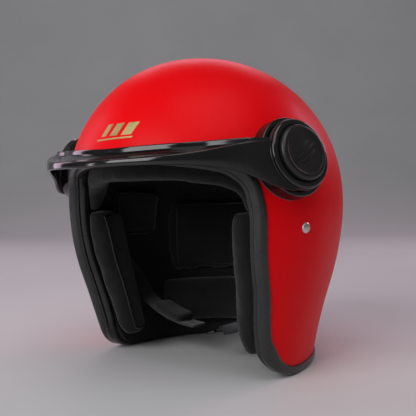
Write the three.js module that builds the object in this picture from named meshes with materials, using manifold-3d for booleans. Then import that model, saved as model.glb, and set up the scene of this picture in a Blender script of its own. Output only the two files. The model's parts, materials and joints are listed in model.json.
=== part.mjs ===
// Open-face motorcycle helmet with a tilting peak.
// Millimetres, +Z up. The wearer faces -Y, the wearer's left is +X.
// Origin: middle of the helmet's footprint box, on the plane its lower rim rests on.
import * as THREE from 'three';
import Module from 'manifold-3d';
import * as BGU from 'three/addons/utils/BufferGeometryUtils.js';

// ---------------------------------------------------------------- dimensions
const HALF_W = 120.3;          // shell half width at its widest
const FRONT = 118.2;           // shell front reach from the ear line
const REAR = 149.3;            // shell rear reach from the ear line
const CROWN = 127.4;           // crown height above the widest level
const BELOW = 198.1;           // lower taper half-axis
const Z_WIDE = 137.0;          // height of the widest level
const P_PLAN = 1.94, P_UP = 2.11, P_DOWN = 1.75;   // superellipse powers
const SKIRT_START = 70, SKIRT_RUN = 60;            // lower wall straightens below this
const Y_SHIFT = -5.3;          // centres the footprint box on the origin
const SHELL_T = 4.0;           // shell wall
const EPS_OUT = 5.6;           // impact liner, outside face below the shell's
const EPS_RIM = 16.0;          // impact liner, inside face near the openings
const EPS_DEEP = 25.0;         // impact liner, inside face under the crown
const PAD_GAP = 2.6;           // liner to comfort pads
const CHEEK_GAP = 4.8;         // room behind the cheek pads for strap and studs
const CHEEK_T = 20.0;          // cheek pad thickness at its crown
const GAP = 0.35;              // between touching pieces
const RIM_Z = 3.2;             // shell's lower edge above the resting plane
const POD = new THREE.Vector3(110.5, -37.9, 171.1);   // peak pivot, on the shell
const POD_N = new THREE.Vector3(0.918, -0.310, 0.247).normalize();
const BASE_R = 30.5, EAR_R = 27.2, COLLAR_R = 26.6, CAP_R = 21.2;
const BASE_H = 6.2, EAR_H0 = 8.5, EAR_H1 = 11.2, COLLAR_H = 14.2, CAP_H = 18.6;
const PEAK_A = 125.0, PEAK_B = 138.7;              // peak rim, plan half-axes
const AXIS_Y = -41.0, AXIS_Z = 173.5;              // peak tilt axis, along X
const RIVET = new THREE.Vector3(116.6, -25.2, 119.5);
const PIN_R = 2.5, PIN_HEAD_R = 4.4;                // pivot pin
const WEB_W = 20, WEB_T = 1.8;                     // chin strap webbing
const SWING_Y = 5, SWING_Z = 74;                  // chin strap swing axis, along X

const V = (x, y, z) => new THREE.Vector3(x, y, z);
const clamp = (v, a, b) => Math.min(b, Math.max(a, v));
const smooth = (a, b, v) => { const t = clamp((v - a) / (b - a), 0, 1); return t * t * (3 - 2 * t); };
const lerp = (a, b, t) => a + (b - a) * t;
const table = (x, pts) => {
  if (x <= pts[0][0]) return pts[0][1];
  for (let i = 1; i < pts.length; i++) if (x <= pts[i][0]) {
    const t = (x - pts[i - 1][0]) / (pts[i][0] - pts[i - 1][0]);
    return lerp(pts[i - 1][1], pts[i][1], t);
  }
  return pts[pts.length - 1][1];
};

// ---------------------------------------------------------------- shell form
// f(P) < 0 inside, 0 on the surface lying `off` outside the shell's outer face.
function form(x, y, z, off) {
  const a = HALF_W + off, b = (y < 0 ? FRONT : REAR) + off;
  let q = z - Z_WIDE, g, n;
  if (q >= 0) { g = q / (CROWN + off); n = P_UP; } else {
    q = -q;
    if (q > SKIRT_START) q = SKIRT_START + SKIRT_RUN * (1 - Math.exp(-(q - SKIRT_START) / SKIRT_RUN));
    g = q / (BELOW + off); n = P_DOWN;
  }
  const h = Math.pow(Math.pow(Math.abs(x / a), P_PLAN) + Math.pow(Math.abs(y / b), P_PLAN), 1 / P_PLAN);
  return Math.pow(h, n) + Math.pow(g, n) - 1;
}
const offOf = (o, p) => (typeof o === 'function' ? o(p) : o);
function march(origin, dir, off, lo = 0, hi = 320) {   // distance along dir to the surface
  for (let i = 0; i < 42; i++) {
    const m = (lo + hi) / 2;
    const p = origin.clone().addScaledVector(dir, m);
    if (form(p.x, p.y, p.z, offOf(off, p)) < 0) lo = m; else hi = m;
  }
  return (lo + hi) / 2;
}
const CENTRE = V(0, 0, Z_WIDE);
const radial = (d, off) => CENTRE.clone().addScaledVector(d, march(CENTRE, d, off));
const atPlan = (phi, z, off) => {                      // phi 0 = front, + = wearer's left
  const o = V(0, 0, z), d = V(Math.sin(phi), -Math.cos(phi), 0);
  return o.addScaledVector(d, march(o, d, off));
};
const atYZ = (y, z, off) => { const o = V(0, y, z); return V(march(o, V(1, 0, 0), off), y, z); };
const atXZ = (x, z, off) => { const o = V(x, 0, z); return V(x, -march(o, V(0, -1, 0), off), z); };
function normalAt(p, off = 0) {
  const e = 0.05, f = (a, b, c) => form(a, b, c, off);
  return V(f(p.x + e, p.y, p.z) - f(p.x - e, p.y, p.z), f(p.x, p.y + e, p.z) - f(p.x, p.y - e, p.z),
    f(p.x, p.y, p.z + e) - f(p.x, p.y, p.z - e)).normalize();
}

// ---------------------------------------------------------------- opening edge
const half = [];
for (const [x, z] of [[0, 176], [20, 175.8], [40, 174.8], [58, 173], [73, 170.4], [84, 167]]) half.push(atXZ(x, z, 0));
for (const [y, z] of [[-74.5, 163], [-69.5, 157.5], [-66.2, 150], [-64.2, 140], [-62.6, 130], [-61.4, 118], [-60, 106], [-57.6, 94],
  [-54.4, 82], [-51, 72], [-47.6, 61], [-44.6, 50], [-41.4, 39], [-36.8, 27], [-29.6, 16], [-19, 8], [-6, 4.2], [10, RIM_Z], [26, RIM_Z],
  [42, RIM_Z], [58, RIM_Z]]) half.push(atYZ(y, z, 0));
for (const [deg, z] of [[136, RIM_Z], [147, 3.9], [158, 5.4], [169, 7], [180, 7.8]]) half.push(atPlan(deg * Math.PI / 180, z, 0));
const ctrl = half.concat(half.slice(1, -1).reverse().map(p => V(-p.x, p.y, p.z)));
const N_RIM = 64;
const rimCurve = new THREE.CatmullRomCurve3(ctrl, true, 'centripetal');
rimCurve.arcLengthDivisions = 2400;
const half0 = N_RIM / 2;
const rimHalf = [];
{ // equal steps on one side, mirrored so both sides match exactly
  const total = rimCurve.getLength(), lens = rimCurve.getLengths();
  for (let i = 0; i <= half0; i++) {
    const p = rimCurve.getPointAt(i / N_RIM);
    if (i === 0 || i === half0) p.x = 0;
    const flat = p.z < RIM_Z + 0.25 && p.y > 8 && p.y < 75;
    const q = atPlan(Math.atan2(p.x, -p.y), flat ? RIM_Z : p.z, 0);
    if (i === 0 || i === half0) q.x = 0;
    rimHalf.push(q);
  }
}
const rim = rimHalf.concat(rimHalf.slice(1, -1).reverse().map(p => V(-p.x, p.y, p.z)));
const rimFrame = rim.map((p, i) => {
  const T = rim[(i + 1) % N_RIM].clone().sub(rim[(i + N_RIM - 1) % N_RIM]).normalize();
  const N = normalAt(p);
  const flat = smooth(34, 8, p.z);
  const Nb = V(N.x, N.y, N.z * (1 - flat)).normalize();
  let S = new THREE.Vector3().crossVectors(T, N).normalize();
  const out = p.clone().sub(CENTRE).normalize();
  const pole = V(0, 0.65, 0.76);
  if (S.dot(pole) > 0) S.negate();
  const k = Math.abs(S.z) > 0.3 ? lerp(1, 1 / Math.abs(S.z), flat) : 1;
  return { p, T, N, Nb, S: S.clone().multiplyScalar(k), flat, c: 1 / Math.max(0.5, N.dot(Nb)) };
});
const layerRim = (i, depth) => { const f = rimFrame[i]; return f.p.clone().addScaledVector(f.Nb, -depth * f.c); };

const POLE = V(0, 0.65, 0.76).normalize();
function slerp(a, b, t) {
  const w = Math.acos(clamp(a.dot(b), -1, 1)); if (w < 1e-6) return a.clone();
  return a.clone().multiplyScalar(Math.sin((1 - t) * w) / Math.sin(w)).addScaledVector(b, Math.sin(t * w) / Math.sin(w)).normalize();
}
const epsIn = p => -lerp(EPS_RIM, EPS_DEEP, smooth(-0.1, 0.45, p.clone().sub(CENTRE).normalize().dot(POLE)));

// ---------------------------------------------------------------- mesh helpers
function geom(verts, tris) {
  const g = new THREE.BufferGeometry();
  const a = new Float32Array(verts.length * 3);
  verts.forEach((v, i) => { a[3 * i] = v.x; a[3 * i + 1] = v.y; a[3 * i + 2] = v.z; });
  g.setAttribute('position', new THREE.BufferAttribute(a, 3));
  g.setIndex(tris);
  return g;
}
function volume(g) {
  const p = g.attributes.position.array, ix = g.index.array; let v = 0;
  for (let i = 0; i < ix.length; i += 3) {
    const [a, b, c] = [ix[i] * 3, ix[i + 1] * 3, ix[i + 2] * 3];
    v += p[a] * (p[b + 1] * p[c + 2] - p[b + 2] * p[c + 1]) - p[a + 1] * (p[b] * p[c + 2] - p[b + 2] * p[c]) + p[a + 2] * (p[b] * p[c + 1] - p[b + 1] * p[c]);
  }
  return v / 6;
}
function outward(g) {
  if (volume(g) < 0) { const ix = g.index.array; for (let i = 0; i < ix.length; i += 3) { const t = ix[i + 1]; ix[i + 1] = ix[i + 2]; ix[i + 2] = t; } }
  return g;
}
// Cap-shaped wall between two surfaces sharing one rim loop.
function wall(nRing, outOff, inOff, outDepth, inDepth) {
  const verts = [], tris = [];
  const surf = (off, depth) => {
    const base = verts.length;
    verts.push(radial(POLE, off));
    for (let j = 1; j <= nRing; j++) for (let i = 0; i < N_RIM; i++) {
      const edge = layerRim(i, depth);
      const de = edge.clone().sub(CENTRE), L = de.length(); de.normalize();
      const t = j / nRing, d = slerp(POLE, de, t);
      const r0 = march(CENTRE, d, off), re = march(CENTRE, de, off);
      verts.push(CENTRE.clone().addScaledVector(d, r0 + (L - re) * Math.pow(t, 5)));
    }
    return base;
  };
  const skin = (base, flip) => {
    const at = (j, i) => j === 0 ? base : base + 1 + (j - 1) * N_RIM + (i % N_RIM);
    const add = (a, b, c) => flip ? tris.push(a, c, b) : tris.push(a, b, c);
    for (let i = 0; i < N_RIM; i++) {
      add(at(0, 0), at(1, i), at(1, i + 1));
      for (let j = 1; j < nRing; j++) {
        add(at(j, i), at(j + 1, i), at(j + 1, i + 1)); add(at(j, i), at(j + 1, i + 1), at(j, i + 1));
      }
    }
    return i => at(nRing, i);
  };
  const bo = surf(outOff, outDepth), bi = surf(inOff, inDepth);
  const eo = skin(bo, false), ei = skin(bi, true);
  for (let i = 0; i < N_RIM; i++) tris.push(eo(i), ei(i), ei(i + 1), eo(i), ei(i + 1), eo(i + 1));
  return outward(geom(verts, tris));
}
// Closed sweep of a vertex loop; sections[i] is an array of points, ends capped by fans.
function loft(sections, closed = false) {
  const n = sections.length, m = sections[0].length, verts = [], tris = [];
  sections.forEach(s => s.forEach(p => verts.push(p)));
  for (let i = 0; i < (closed ? n : n - 1); i++) for (let k = 0; k < m; k++) {
    const a = i * m + k, b = i * m + (k + 1) % m, c = ((i + 1) % n) * m + (k + 1) % m, d = ((i + 1) % n) * m + k;
    tris.push(a, b, c, a, c, d);
  }
  if (!closed) for (const [s, flip] of [[0, true], [n - 1, false]]) {
    const contour = sections[s];
    // planar triangulation of the end section
    const o = contour[0], e1 = contour[1].clone().sub(o).normalize();
    let nn = V(0, 0, 0);
    for (let k = 1; k < m - 1; k++) nn.add(contour[k].clone().sub(o).cross(contour[k + 1].clone().sub(o)));
    nn.normalize(); const e2 = nn.clone().cross(e1);
    const pts = contour.map(p => { const d = p.clone().sub(o); return new THREE.Vector2(d.dot(e1), d.dot(e2)); });
    for (const f of THREE.ShapeUtils.triangulateShape(pts, [])) flip ? tris.push(s * m + f[0], s * m + f[2], s * m + f[1]) : tris.push(s * m + f[0], s * m + f[1], s * m + f[2]);
  }
  return outward(geom(verts, tris));
}
// Closed slab between two patches; fOut and fIn map (u, v) in 0..1 to points.
function slab(fOut, fIn, nu, nv) {
  const verts = [], tris = [], W = nu + 1;
  for (const f of [fOut, fIn]) for (let j = 0; j <= nv; j++) for (let i = 0; i <= nu; i++) verts.push(f(i / nu, j / nv));
  const K = W * (nv + 1), o = (i, j) => j * W + i, q = (i, j) => K + j * W + i;
  for (let j = 0; j < nv; j++) for (let i = 0; i < nu; i++) {
    tris.push(o(i, j), o(i + 1, j), o(i + 1, j + 1), o(i, j), o(i + 1, j + 1), o(i, j + 1));
    tris.push(q(i, j), q(i + 1, j + 1), q(i + 1, j), q(i, j), q(i, j + 1), q(i + 1, j + 1));
  }
  for (let i = 0; i < nu; i++) {
    tris.push(o(i, 0), q(i, 0), q(i + 1, 0), o(i, 0), q(i + 1, 0), o(i + 1, 0));
    tris.push(o(i, nv), q(i + 1, nv), q(i, nv), o(i, nv), o(i + 1, nv), q(i + 1, nv));
  }
  for (let j = 0; j < nv; j++) {
    tris.push(o(0, j), q(0, j + 1), q(0, j), o(0, j), o(0, j + 1), q(0, j + 1));
    tris.push(o(nu, j), q(nu, j), q(nu, j + 1), o(nu, j), q(nu, j + 1), o(nu, j + 1));
  }
  return outward(geom(verts, tris));
}
const mirror = g => {
  const h = g.clone(); h.scale(-1, 1, 1);
  const ix = h.index ? h.index.array : null;
  if (ix) for (let i = 0; i < ix.length; i += 3) { const t = ix[i + 1]; ix[i + 1] = ix[i + 2]; ix[i + 2] = t; }
  return h;
};
// Turned piece: profile [r, h] pairs from axis to axis, along `axis` from `at`.
function turned(profile, at, axis, seg = 28) {
  let g = new THREE.LatheGeometry(profile.map(([r, h]) => new THREE.Vector2(r, h)), seg);
  g.applyQuaternion(new THREE.Quaternion().setFromUnitVectors(V(0, 1, 0), axis.clone().normalize()));
  g.translate(at.x, at.y, at.z);
  return clean(g);
}
function clean(g) {
  g = g.clone(); for (const k of Object.keys(g.attributes)) if (k !== 'position') g.deleteAttribute(k);
  if (g.index === null) g.setIndex([...Array(g.attributes.position.count).keys()]);
  g = BGU.mergeVertices(g, 1e-4);
  const ix = g.index.array, keep = [];
  for (let i = 0; i < ix.length; i += 3) if (ix[i] !== ix[i + 1] && ix[i + 1] !== ix[i + 2] && ix[i] !== ix[i + 2]) keep.push(ix[i], ix[i + 1], ix[i + 2]);
  g.setIndex(keep);
  return outward(g);
}
// Box on a local frame (ex, ey, ez unit vectors), size s, centred at c.
function block(c, ex, ey, ez, s) {
  const g = new THREE.BoxGeometry(s[0], s[1], s[2]);
  g.applyMatrix4(new THREE.Matrix4().makeBasis(ex, ey, ez));
  g.translate(c.x, c.y, c.z);
  return clean(g);
}

const wasm = await Module(); wasm.setup();
const solid = g => {
  const c = clean(g);
  return new wasm.Manifold(new wasm.Mesh({ numProp: 3, vertProperties: new Float32Array(c.attributes.position.array), triVerts: new Uint32Array(c.index.array) }));
};
const back = m => {
  const k = m.getMesh(), g = new THREE.BufferGeometry(), n = k.numProp, c = k.vertProperties.length / n, a = new Float32Array(c * 3);
  for (let i = 0; i < c; i++) for (let j = 0; j < 3; j++) a[3 * i + j] = k.vertProperties[i * n + j];
  g.setAttribute('position', new THREE.BufferAttribute(a, 3)); g.setIndex([...k.triVerts]);
  return clean(g);
};
const cut = (g, ...tools) => back(tools.reduce((m, t) => m.subtract(solid(t)), solid(g)));
const join = (...gs) => back(gs.slice(1).reduce((m, t) => m.add(solid(t)), solid(gs[0])));

// ---------------------------------------------------------------- assembly
const helmet = new THREE.Group();
helmet.name = 'helmet';
const looks = {
  shell: [0xd60008, 0.32, 0], eps: [0x2a2a2c, 0.9, 0], trim: [0x222324, 0.5, 0], plastic: [0x101112, 0.25, 0],
  pad: [0x1d1e1f, 0.95, 0], steel: [0xb9b4b0, 0.35, 1], web: [0x141415, 0.9, 0], dark: [0x1a1b1c, 0.55, 0], gold: [0xc2a761, 0.4, 0.6],
};
function add(name, g, look) {
  const [color, roughness, metalness] = looks[look];
  const m = new THREE.Mesh(g, new THREE.MeshStandardMaterial({ color, roughness, metalness }));
  m.name = name; helmet.add(m); return m;
}
const addPair = (name, g, look) => { add(name + '_left', g, look); add(name + '_right', mirror(g), look); };
const X = V(1, 0, 0), Y = V(0, 1, 0), Z = V(0, 0, 1);

// Rivet frame
const rivetAt = atYZ(RIVET.y, RIVET.z, 0), rivetN = normalAt(rivetAt);
const rivetV = Z.clone().addScaledVector(rivetN, -Z.dot(rivetN)).normalize();
const rivetU = new THREE.Vector3().crossVectors(rivetV, rivetN).normalize();
const podAt = atYZ(POD.y, POD.z, 0);
const axisPt = x => V(x, AXIS_Y, AXIS_Z);

// Shell, drilled for the pivot pins and strap rivets
const pinHole = (r, x0, x1, seg = 20) => turned([[0, 0], [r, 0], [r, x1 - x0], [0, x1 - x0]], axisPt(x0), X, seg);
const rivetHole = turned([[0, -12], [3.0, -12], [3.0, 6], [0, 6]], rivetAt, rivetN, 16);
const both = g => [g, mirror(g)];
add('outer_shell', cut(wall(10, 0, -SHELL_T, 0, SHELL_T), ...both(pinHole(PIN_R + 0.6, 90, 140)), ...both(rivetHole)), 'shell');

// Impact liner with pockets for the pivot nuts and the strap anchors
const nutPocket = pinHole(9.5, 91.5, 120, 16);
const strapPocket = block(rivetAt.clone().addScaledVector(rivetN, -17).addScaledVector(rivetV, -9), rivetU, rivetV, rivetN, [27, 52, 30]);
const chanA = atYZ(-8, 87, -EPS_RIM - 2.2), chanN = normalAt(chanA, -EPS_RIM);
const chanV = V(0, 0.71, -0.71).addScaledVector(chanN, -V(0, 0.71, -0.71).dot(chanN)).normalize(), chanU = new THREE.Vector3().crossVectors(chanV, chanN).normalize();
const strapChannel = block(chanA.clone().addScaledVector(chanN, -4.5), chanU, chanV, chanN, [27, 74, 17]);
add('eps_liner', cut(wall(8, -EPS_OUT, epsIn, EPS_OUT, EPS_RIM), ...both(nutPocket), ...both(strapPocket), ...both(strapChannel)), 'eps');

// Rim trims: a bull-nosed vinyl edge round the face, a flatter one round the neck
const EDGE = 0.6;                               // rim face to trim
const faceSec = [[GAP, -3.8], [1.3, -3.2], [1.5, -0.4], [0.2, 2.6], [-3, 4.7], [-8, 5.6], [-12.6, 4.6], [-15, 2.4], [-15, EDGE], [GAP, EDGE]];
const neckSec = [[GAP, -3.8], [1.3, -3.2], [1.6, 0.6], [1.3, 2.4], [0.5, RIM_Z], [-4, RIM_Z], [-9.5, RIM_Z], [-10.5, 2.2], [-10.5, EDGE], [GAP, EDGE]];
const trimAt = i => {
  const f = rimFrame[(i + N_RIM) % N_RIM], w = f.flat;
  return faceSec.map((a, k) => {
    const n = lerp(a[0], neckSec[k][0], w), s = lerp(a[1], neckSec[k][1], w);
    return f.p.clone().addScaledVector(f.Nb, n * (n > 0 ? 1 : f.c)).addScaledVector(f.S, s);
  });
};
let split = 0; while (!(rim[split].y > -2 && rim[split].z < 8)) split++;
const trimBetween = (a, b, t) => { const p = trimAt(a), q = trimAt(b); return p.map((v, k) => v.clone().lerp(q[k], t)); };
{
  const face = [trimBetween(-split, -split + 1, 0.03)];
  for (let i = -split + 1; i <= split - 1; i++) face.push(trimAt(i));
  face.push(trimBetween(split, split - 1, 0.03));
  add('face_opening_trim', loft(face), 'trim');
  const neck = [trimBetween(split, split + 1, 0.03)];
  for (let i = split + 1; i <= N_RIM - split - 1; i++) neck.push(trimAt(i));
  neck.push(trimBetween(N_RIM - split, N_RIM - split - 1, 0.03));
  add('lower_edge_trim', loft(neck), 'trim');
}

// ---------------------------------------------------------------- comfort padding
const crown = (u, v) => 1 - 0.45 * (Math.pow(Math.abs(2 * u - 1), 6) + Math.pow(Math.abs(2 * v - 1), 6)) / 2;
// brow pad: follows the opening edge over the brow and down both temples
const browEnd = 128;
let nb = 0; while (rim[nb].z > browEnd) nb++;
const rimDirAt = w => {                        // w in rim steps from the brow centre, may be negative
  const i0 = Math.floor(w), t = w - i0;
  const a = rim[(i0 + N_RIM) % N_RIM], b = rim[(i0 + 1 + N_RIM) % N_RIM];
  return a.clone().lerp(b, t).sub(CENTRE).normalize();
};
const browDir = (u, v, s0, s1) => { const d = rimDirAt(lerp(-nb, nb, u)); return slerp(d, POLE, lerp(s0, s1, v) / 118 / Math.acos(d.dot(POLE))); };
const padOut = (gap = PAD_GAP) => p => epsIn(p) - gap;
const padIn = (gap, t) => p => epsIn(p) - gap - t;
// the band hangs below the shell's edge over the forehead and draws back to it at the temples
const browHang = u => lerp(-2, -8.5, smooth(156, 172, rimDirAt(lerp(-nb, nb, u)).z * 118 + Z_WIDE));
add('brow_pad', slab((u, v) => radial(browDir(u, v, browHang(u) + 1.2, 36), padOut()), (u, v) => radial(browDir(u, v, browHang(u), 36), padIn(PAD_GAP, 15.5 * crown(0.5, v))), 26, 3), 'pad');

// side pads above the ears
const sideYZ = (u, v) => [lerp(-12, 43, u), lerp(104, 153, v)];
const patchYZ = (f, off) => (u, v) => { const [y, z] = f(u, v); return atYZ(y, z, off); };
addPair('side_pad', slab(patchYZ(sideYZ, padOut()), (u, v) => { const [y, z] = sideYZ(u, v); return atYZ(y, z, padIn(PAD_GAP, 12 * crown(u, v))); }, 7, 4), 'pad');
// rear head pad
const rearPZ = (u, v) => [lerp(123, 237, u) * Math.PI / 180, lerp(65, 141, v)];
add('rear_head_pad', slab((u, v) => atPlan(...rearPZ(u, v), padOut()), (u, v) => atPlan(...rearPZ(u, v), padIn(PAD_GAP, 13 * crown(u, v))), 12, 5), 'pad');
// crown pad: a disc over the top of the head
const crownDir = (u, v) => { const x = (2 * u - 1), y = (2 * v - 1), r = Math.max(Math.abs(x), Math.abs(y)), l = Math.hypot(x, y) || 1;
  const a = r * 0.62, ex = x / l, ey = y / l, tilt = V(0, 0.10, 1).normalize();
  const side = V(1, 0, 0), fwd = new THREE.Vector3().crossVectors(tilt, side);
  return tilt.clone().multiplyScalar(Math.cos(a)).addScaledVector(side, Math.sin(a) * ex).addScaledVector(fwd, Math.sin(a) * ey * 1.0).normalize(); };
add('crown_pad', slab((u, v) => radial(crownDir(u, v), padOut()), (u, v) => radial(crownDir(u, v), padIn(PAD_GAP, 12 * crown(u, v))), 8, 8), 'pad');
// neck roll
const neckPZ = (u, v) => [lerp(117, 243, u) * Math.PI / 180, lerp(16, 58, v)];
add('neck_roll', slab((u, v) => atPlan(...neckPZ(u, v), padOut()), (u, v) => atPlan(...neckPZ(u, v), padIn(PAD_GAP, 17 * crown(u, v))), 14, 4), 'pad');
// cheek pads: front edge follows the opening, rear edge stands ahead of the ear
const edgeY = z => { for (let i = 1; i < half0; i++) if (rim[i].z >= z && rim[i + 1].z < z && rim[i].y < 0) return lerp(rim[i].y, rim[i + 1].y, (rim[i].z - z) / (rim[i].z - rim[i + 1].z)); return rim[half0 >> 1].y; };
const cheekYZ = (u, v) => { const z = lerp(14, 121, v); return [lerp(edgeY(z) + 1.2, table(z, [[14, -4], [40, -13], [60, -14.5], [75, -13], [121, -16]]), u), z]; };
const cheekBack = p => -EPS_RIM - CHEEK_GAP;
addPair('cheek_pad', slab(patchYZ(cheekYZ, -EPS_RIM - CHEEK_GAP), (u, v) => { const [y, z] = cheekYZ(u, v); return atYZ(y, z, -EPS_RIM - CHEEK_GAP - CHEEK_T * (0.66 + 0.34 * smooth(0, 0.45, u)) * lerp(0.82, 1, smooth(0, 0.3, v)) * crown(u, v)); }, 7, 8), 'pad');
// press studs that hold each cheek pad to the liner
for (const [tag, y, z] of [['upper', -42, 98], ['lower', -30, 38]]) {
  const a = atYZ(y, z, -EPS_RIM), n = normalAt(a, -EPS_RIM).negate();
  addPair('cheek_stud_' + tag, turned([[0, 2.1], [5.5, 2.1], [5.5, 2.9], [3.4, 3.4], [3.4, 4.4], [0, 4.4]], a, n, 12), 'dark');
}

// ---------------------------------------------------------------- pivots and peak
const skinCutter = (() => { // full closed body a hair outside the shell's outer face
  const nu = 80, nv = 40, verts = [], tris = [];
  verts.push(radial(V(0, 0, 1), GAP + 0.15));
  for (let j = 1; j < nv; j++) for (let i = 0; i < nu; i++) {
    const th = Math.PI * j / nv, ph = 2 * Math.PI * i / nu;
    verts.push(radial(V(Math.sin(th) * Math.cos(ph), Math.sin(th) * Math.sin(ph), Math.cos(th)), GAP + 0.15));
  }
  verts.push(V(0, 0, -40));
  const at = (j, i) => j === 0 ? 0 : j === nv ? verts.length - 1 : 1 + (j - 1) * nu + (i % nu);
  for (let i = 0; i < nu; i++) { tris.push(at(0, 0), at(1, i), at(1, i + 1)); tris.push(at(nv, 0), at(nv - 1, i + 1), at(nv - 1, i));
    for (let j = 1; j < nv - 1; j++) tris.push(at(j, i), at(j + 1, i), at(j + 1, i + 1), at(j, i), at(j + 1, i + 1), at(j, i + 1)); }
  return outward(geom(verts, tris));
})();
const SEG = 28;
add('pivot_base_left', cut(turned([[0, -9], [BASE_R - 0.2, -9], [BASE_R, 3], [BASE_R - 1.2, BASE_H], [0, BASE_H]], podAt, POD_N, SEG), skinCutter, pinHole(PIN_R + 0.4, 90, 140)), 'plastic');
add('pivot_base_right', mirror(helmet.children[helmet.children.length - 1].geometry), 'plastic');

// Peak: thin rim band in front, dished upper flange with an upturned rear lip,
// widening at the sides into arms that end in round ears on the pivots.
const earC = podAt.clone().addScaledVector(POD_N, EAR_H1 - 0.15);
const earPlaneX = (y, z) => earC.x - (POD_N.y * (y - earC.y) + POD_N.z * (z - earC.z)) / POD_N.x;
const zLow = d => table(d, [[0, 164.6], [12, 165.2], [24, 165.6], [34, 165.3], [42, 164], [48, 161.2], [53, 156.8], [57, 151.6], [61, 147.8], [66, 146.8]]);
const bandH = d => table(d, [[0, 5], [14, 5.2], [24, 6.2], [32, 8.2], [40, 12], [46, 17], [51, 23], [55, 28.5], [59, 34], [66, 38.5]]);
const zTop = d => table(d, [[0, 179.5], [12, 180.4], [24, 181.6], [36, 182.8], [48, 184.2], [56, 185.2], [66, 186.2]]);
function planR(deg, grow = 0) {
  const s = Math.sin(deg * Math.PI / 180), c = Math.cos(deg * Math.PI / 180);
  return 1 / Math.hypot(s / (PEAK_A + grow), c / (PEAK_B + grow));
}
function peakPoint(deg, z, inset) {             // on the rim surface, moved in by inset
  const a = Math.abs(deg), sg = Math.sign(deg) || 1, r = planR(a) - inset;
  const ph = a * Math.PI / 180, p = V(r * Math.sin(ph), -r * Math.cos(ph), z);
  const w = smooth(49, 64, a);
  const px = earPlaneX(p.y, z) - inset / POD_N.x;
  p.x = lerp(p.x, px, w);
  p.x *= sg; return p;
}
const PT = 2.6;                                  // peak wall
function peakSection(deg) {
  const a = Math.abs(deg), zl = zLow(a), zb = zl + bandH(a), zt = zTop(a);
  const ph = a * Math.PI / 180;
  // rear lip stands off the shell
  const s = atPlan(ph, zt - 3, 0); const shellR = Math.hypot(s.x, s.y);
  const arm = smooth(36, 54, a);
  const inset = lerp(planR(a) - shellR - 4.4, PT + 1.1, arm);
  const zf = Math.min(zb, zt - 1.5);
  return [
    peakPoint(deg, zl, 0.5), peakPoint(deg, zl + 0.9, 0), peakPoint(deg, zf - 0.8, 0), peakPoint(deg, zf, 0.9),
    peakPoint(deg, lerp(zf, zt - 3.2, 0.5) - 0.9 * (1 - arm), lerp(0.9, inset - 1.6, 0.5)), peakPoint(deg, Math.max(zf + 0.3, zt - 3.2), inset - 1.9), peakPoint(deg, zt, inset - 1.5),
    peakPoint(deg, zt, inset), peakPoint(deg, Math.max(zf - 1, zt - 5.2), inset + 0.2), peakPoint(deg, zf - 2.2, PT + 1.2), peakPoint(deg, zl + 0.9, PT), peakPoint(deg, zl, PT - 0.5),
  ];
}
{
  const degs = []; for (let d = -66; d <= 66; d += 4) degs.push(d);
  const body = loft(degs.map(peakSection));
  const ear = turned([[0, EAR_H0], [EAR_R - 0.4, EAR_H0], [EAR_R, EAR_H0 + 0.6], [EAR_R, EAR_H1 - 0.6], [EAR_R - 0.5, EAR_H1], [0, EAR_H1]], podAt, POD_N, SEG);
  add('peak', cut(join(body, ...both(ear)), ...both(pinHole(PIN_R + 0.6, 90, 140)), ...both(turned([[0, EAR_H1 - 0.02], [COLLAR_R + 1, EAR_H1 - 0.02], [COLLAR_R + 1, 26], [0, 26]], podAt, POD_N, SEG))), 'plastic');
}
// Collar ring, then the cap that turns a part turn to lock
addPair('pivot_collar', cut(turned([[0, EAR_H1 + GAP], [COLLAR_R, EAR_H1 + GAP], [COLLAR_R, COLLAR_H - 1], [COLLAR_R - 1.6, COLLAR_H], [CAP_R + 0.6, COLLAR_H], [CAP_R - 1.4, COLLAR_H - 0.9], [0, COLLAR_H - 0.9]], podAt, POD_N, SEG), pinHole(PIN_HEAD_R + 1.6, 90, 140, 18)), 'plastic');
addPair('pivot_cap', turned([[0, 16.4], [13, 16.4], [13, COLLAR_H - 0.9 + GAP], [CAP_R - 1.9, COLLAR_H - 0.9 + GAP], [CAP_R, COLLAR_H + GAP + 0.4], [CAP_R, CAP_H - 1.6], [CAP_R - 1.6, CAP_H - 0.2], [0, CAP_H]], podAt, POD_N, SEG), 'plastic');
// Pivot pin with a flat head under the cap, washer, and the nut behind the shell
const headX = earPlaneX(AXIS_Y, AXIS_Z) + PIN_HEAD_R * Math.hypot(POD_N.y, POD_N.z) / POD_N.x + 0.45;
addPair('pivot_pin', turned([[0, -28], [PIN_R, -28], [PIN_R, 0], [PIN_HEAD_R, 0], [PIN_HEAD_R, 1.1], [0, 1.1]], axisPt(headX), X, 16), 'steel');
const nutX = atYZ(AXIS_Y, AXIS_Z, -SHELL_T).x - 8.4;
addPair('pivot_nut', turned([[3.4, 0], [6.0, 0], [6.0, 3.4], [3.4, 3.4], [3.4, 0]], axisPt(nutX), X, 6), 'steel');

// ---------------------------------------------------------------- chin strap
addPair('strap_rivet', turned([[0, -11], [4.6, -11], [4.6, -9.8], [2.5, -9.8], [2.5, GAP], [4.1, GAP], [4.0, 0.9], [2.9, 1.7], [0, 2.1]], rivetAt, rivetN, 18), 'steel');
const plateC = rivetAt.clone().addScaledVector(rivetN, -8.6).addScaledVector(rivetV, -5);
addPair('strap_anchor', cut(block(plateC, rivetU, rivetV, rivetN, [22, 26, 1.6]), turned([[0, -14], [2.9, -14], [2.9, 6], [0, 6]], rivetAt, rivetN, 14)), 'steel');

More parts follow.
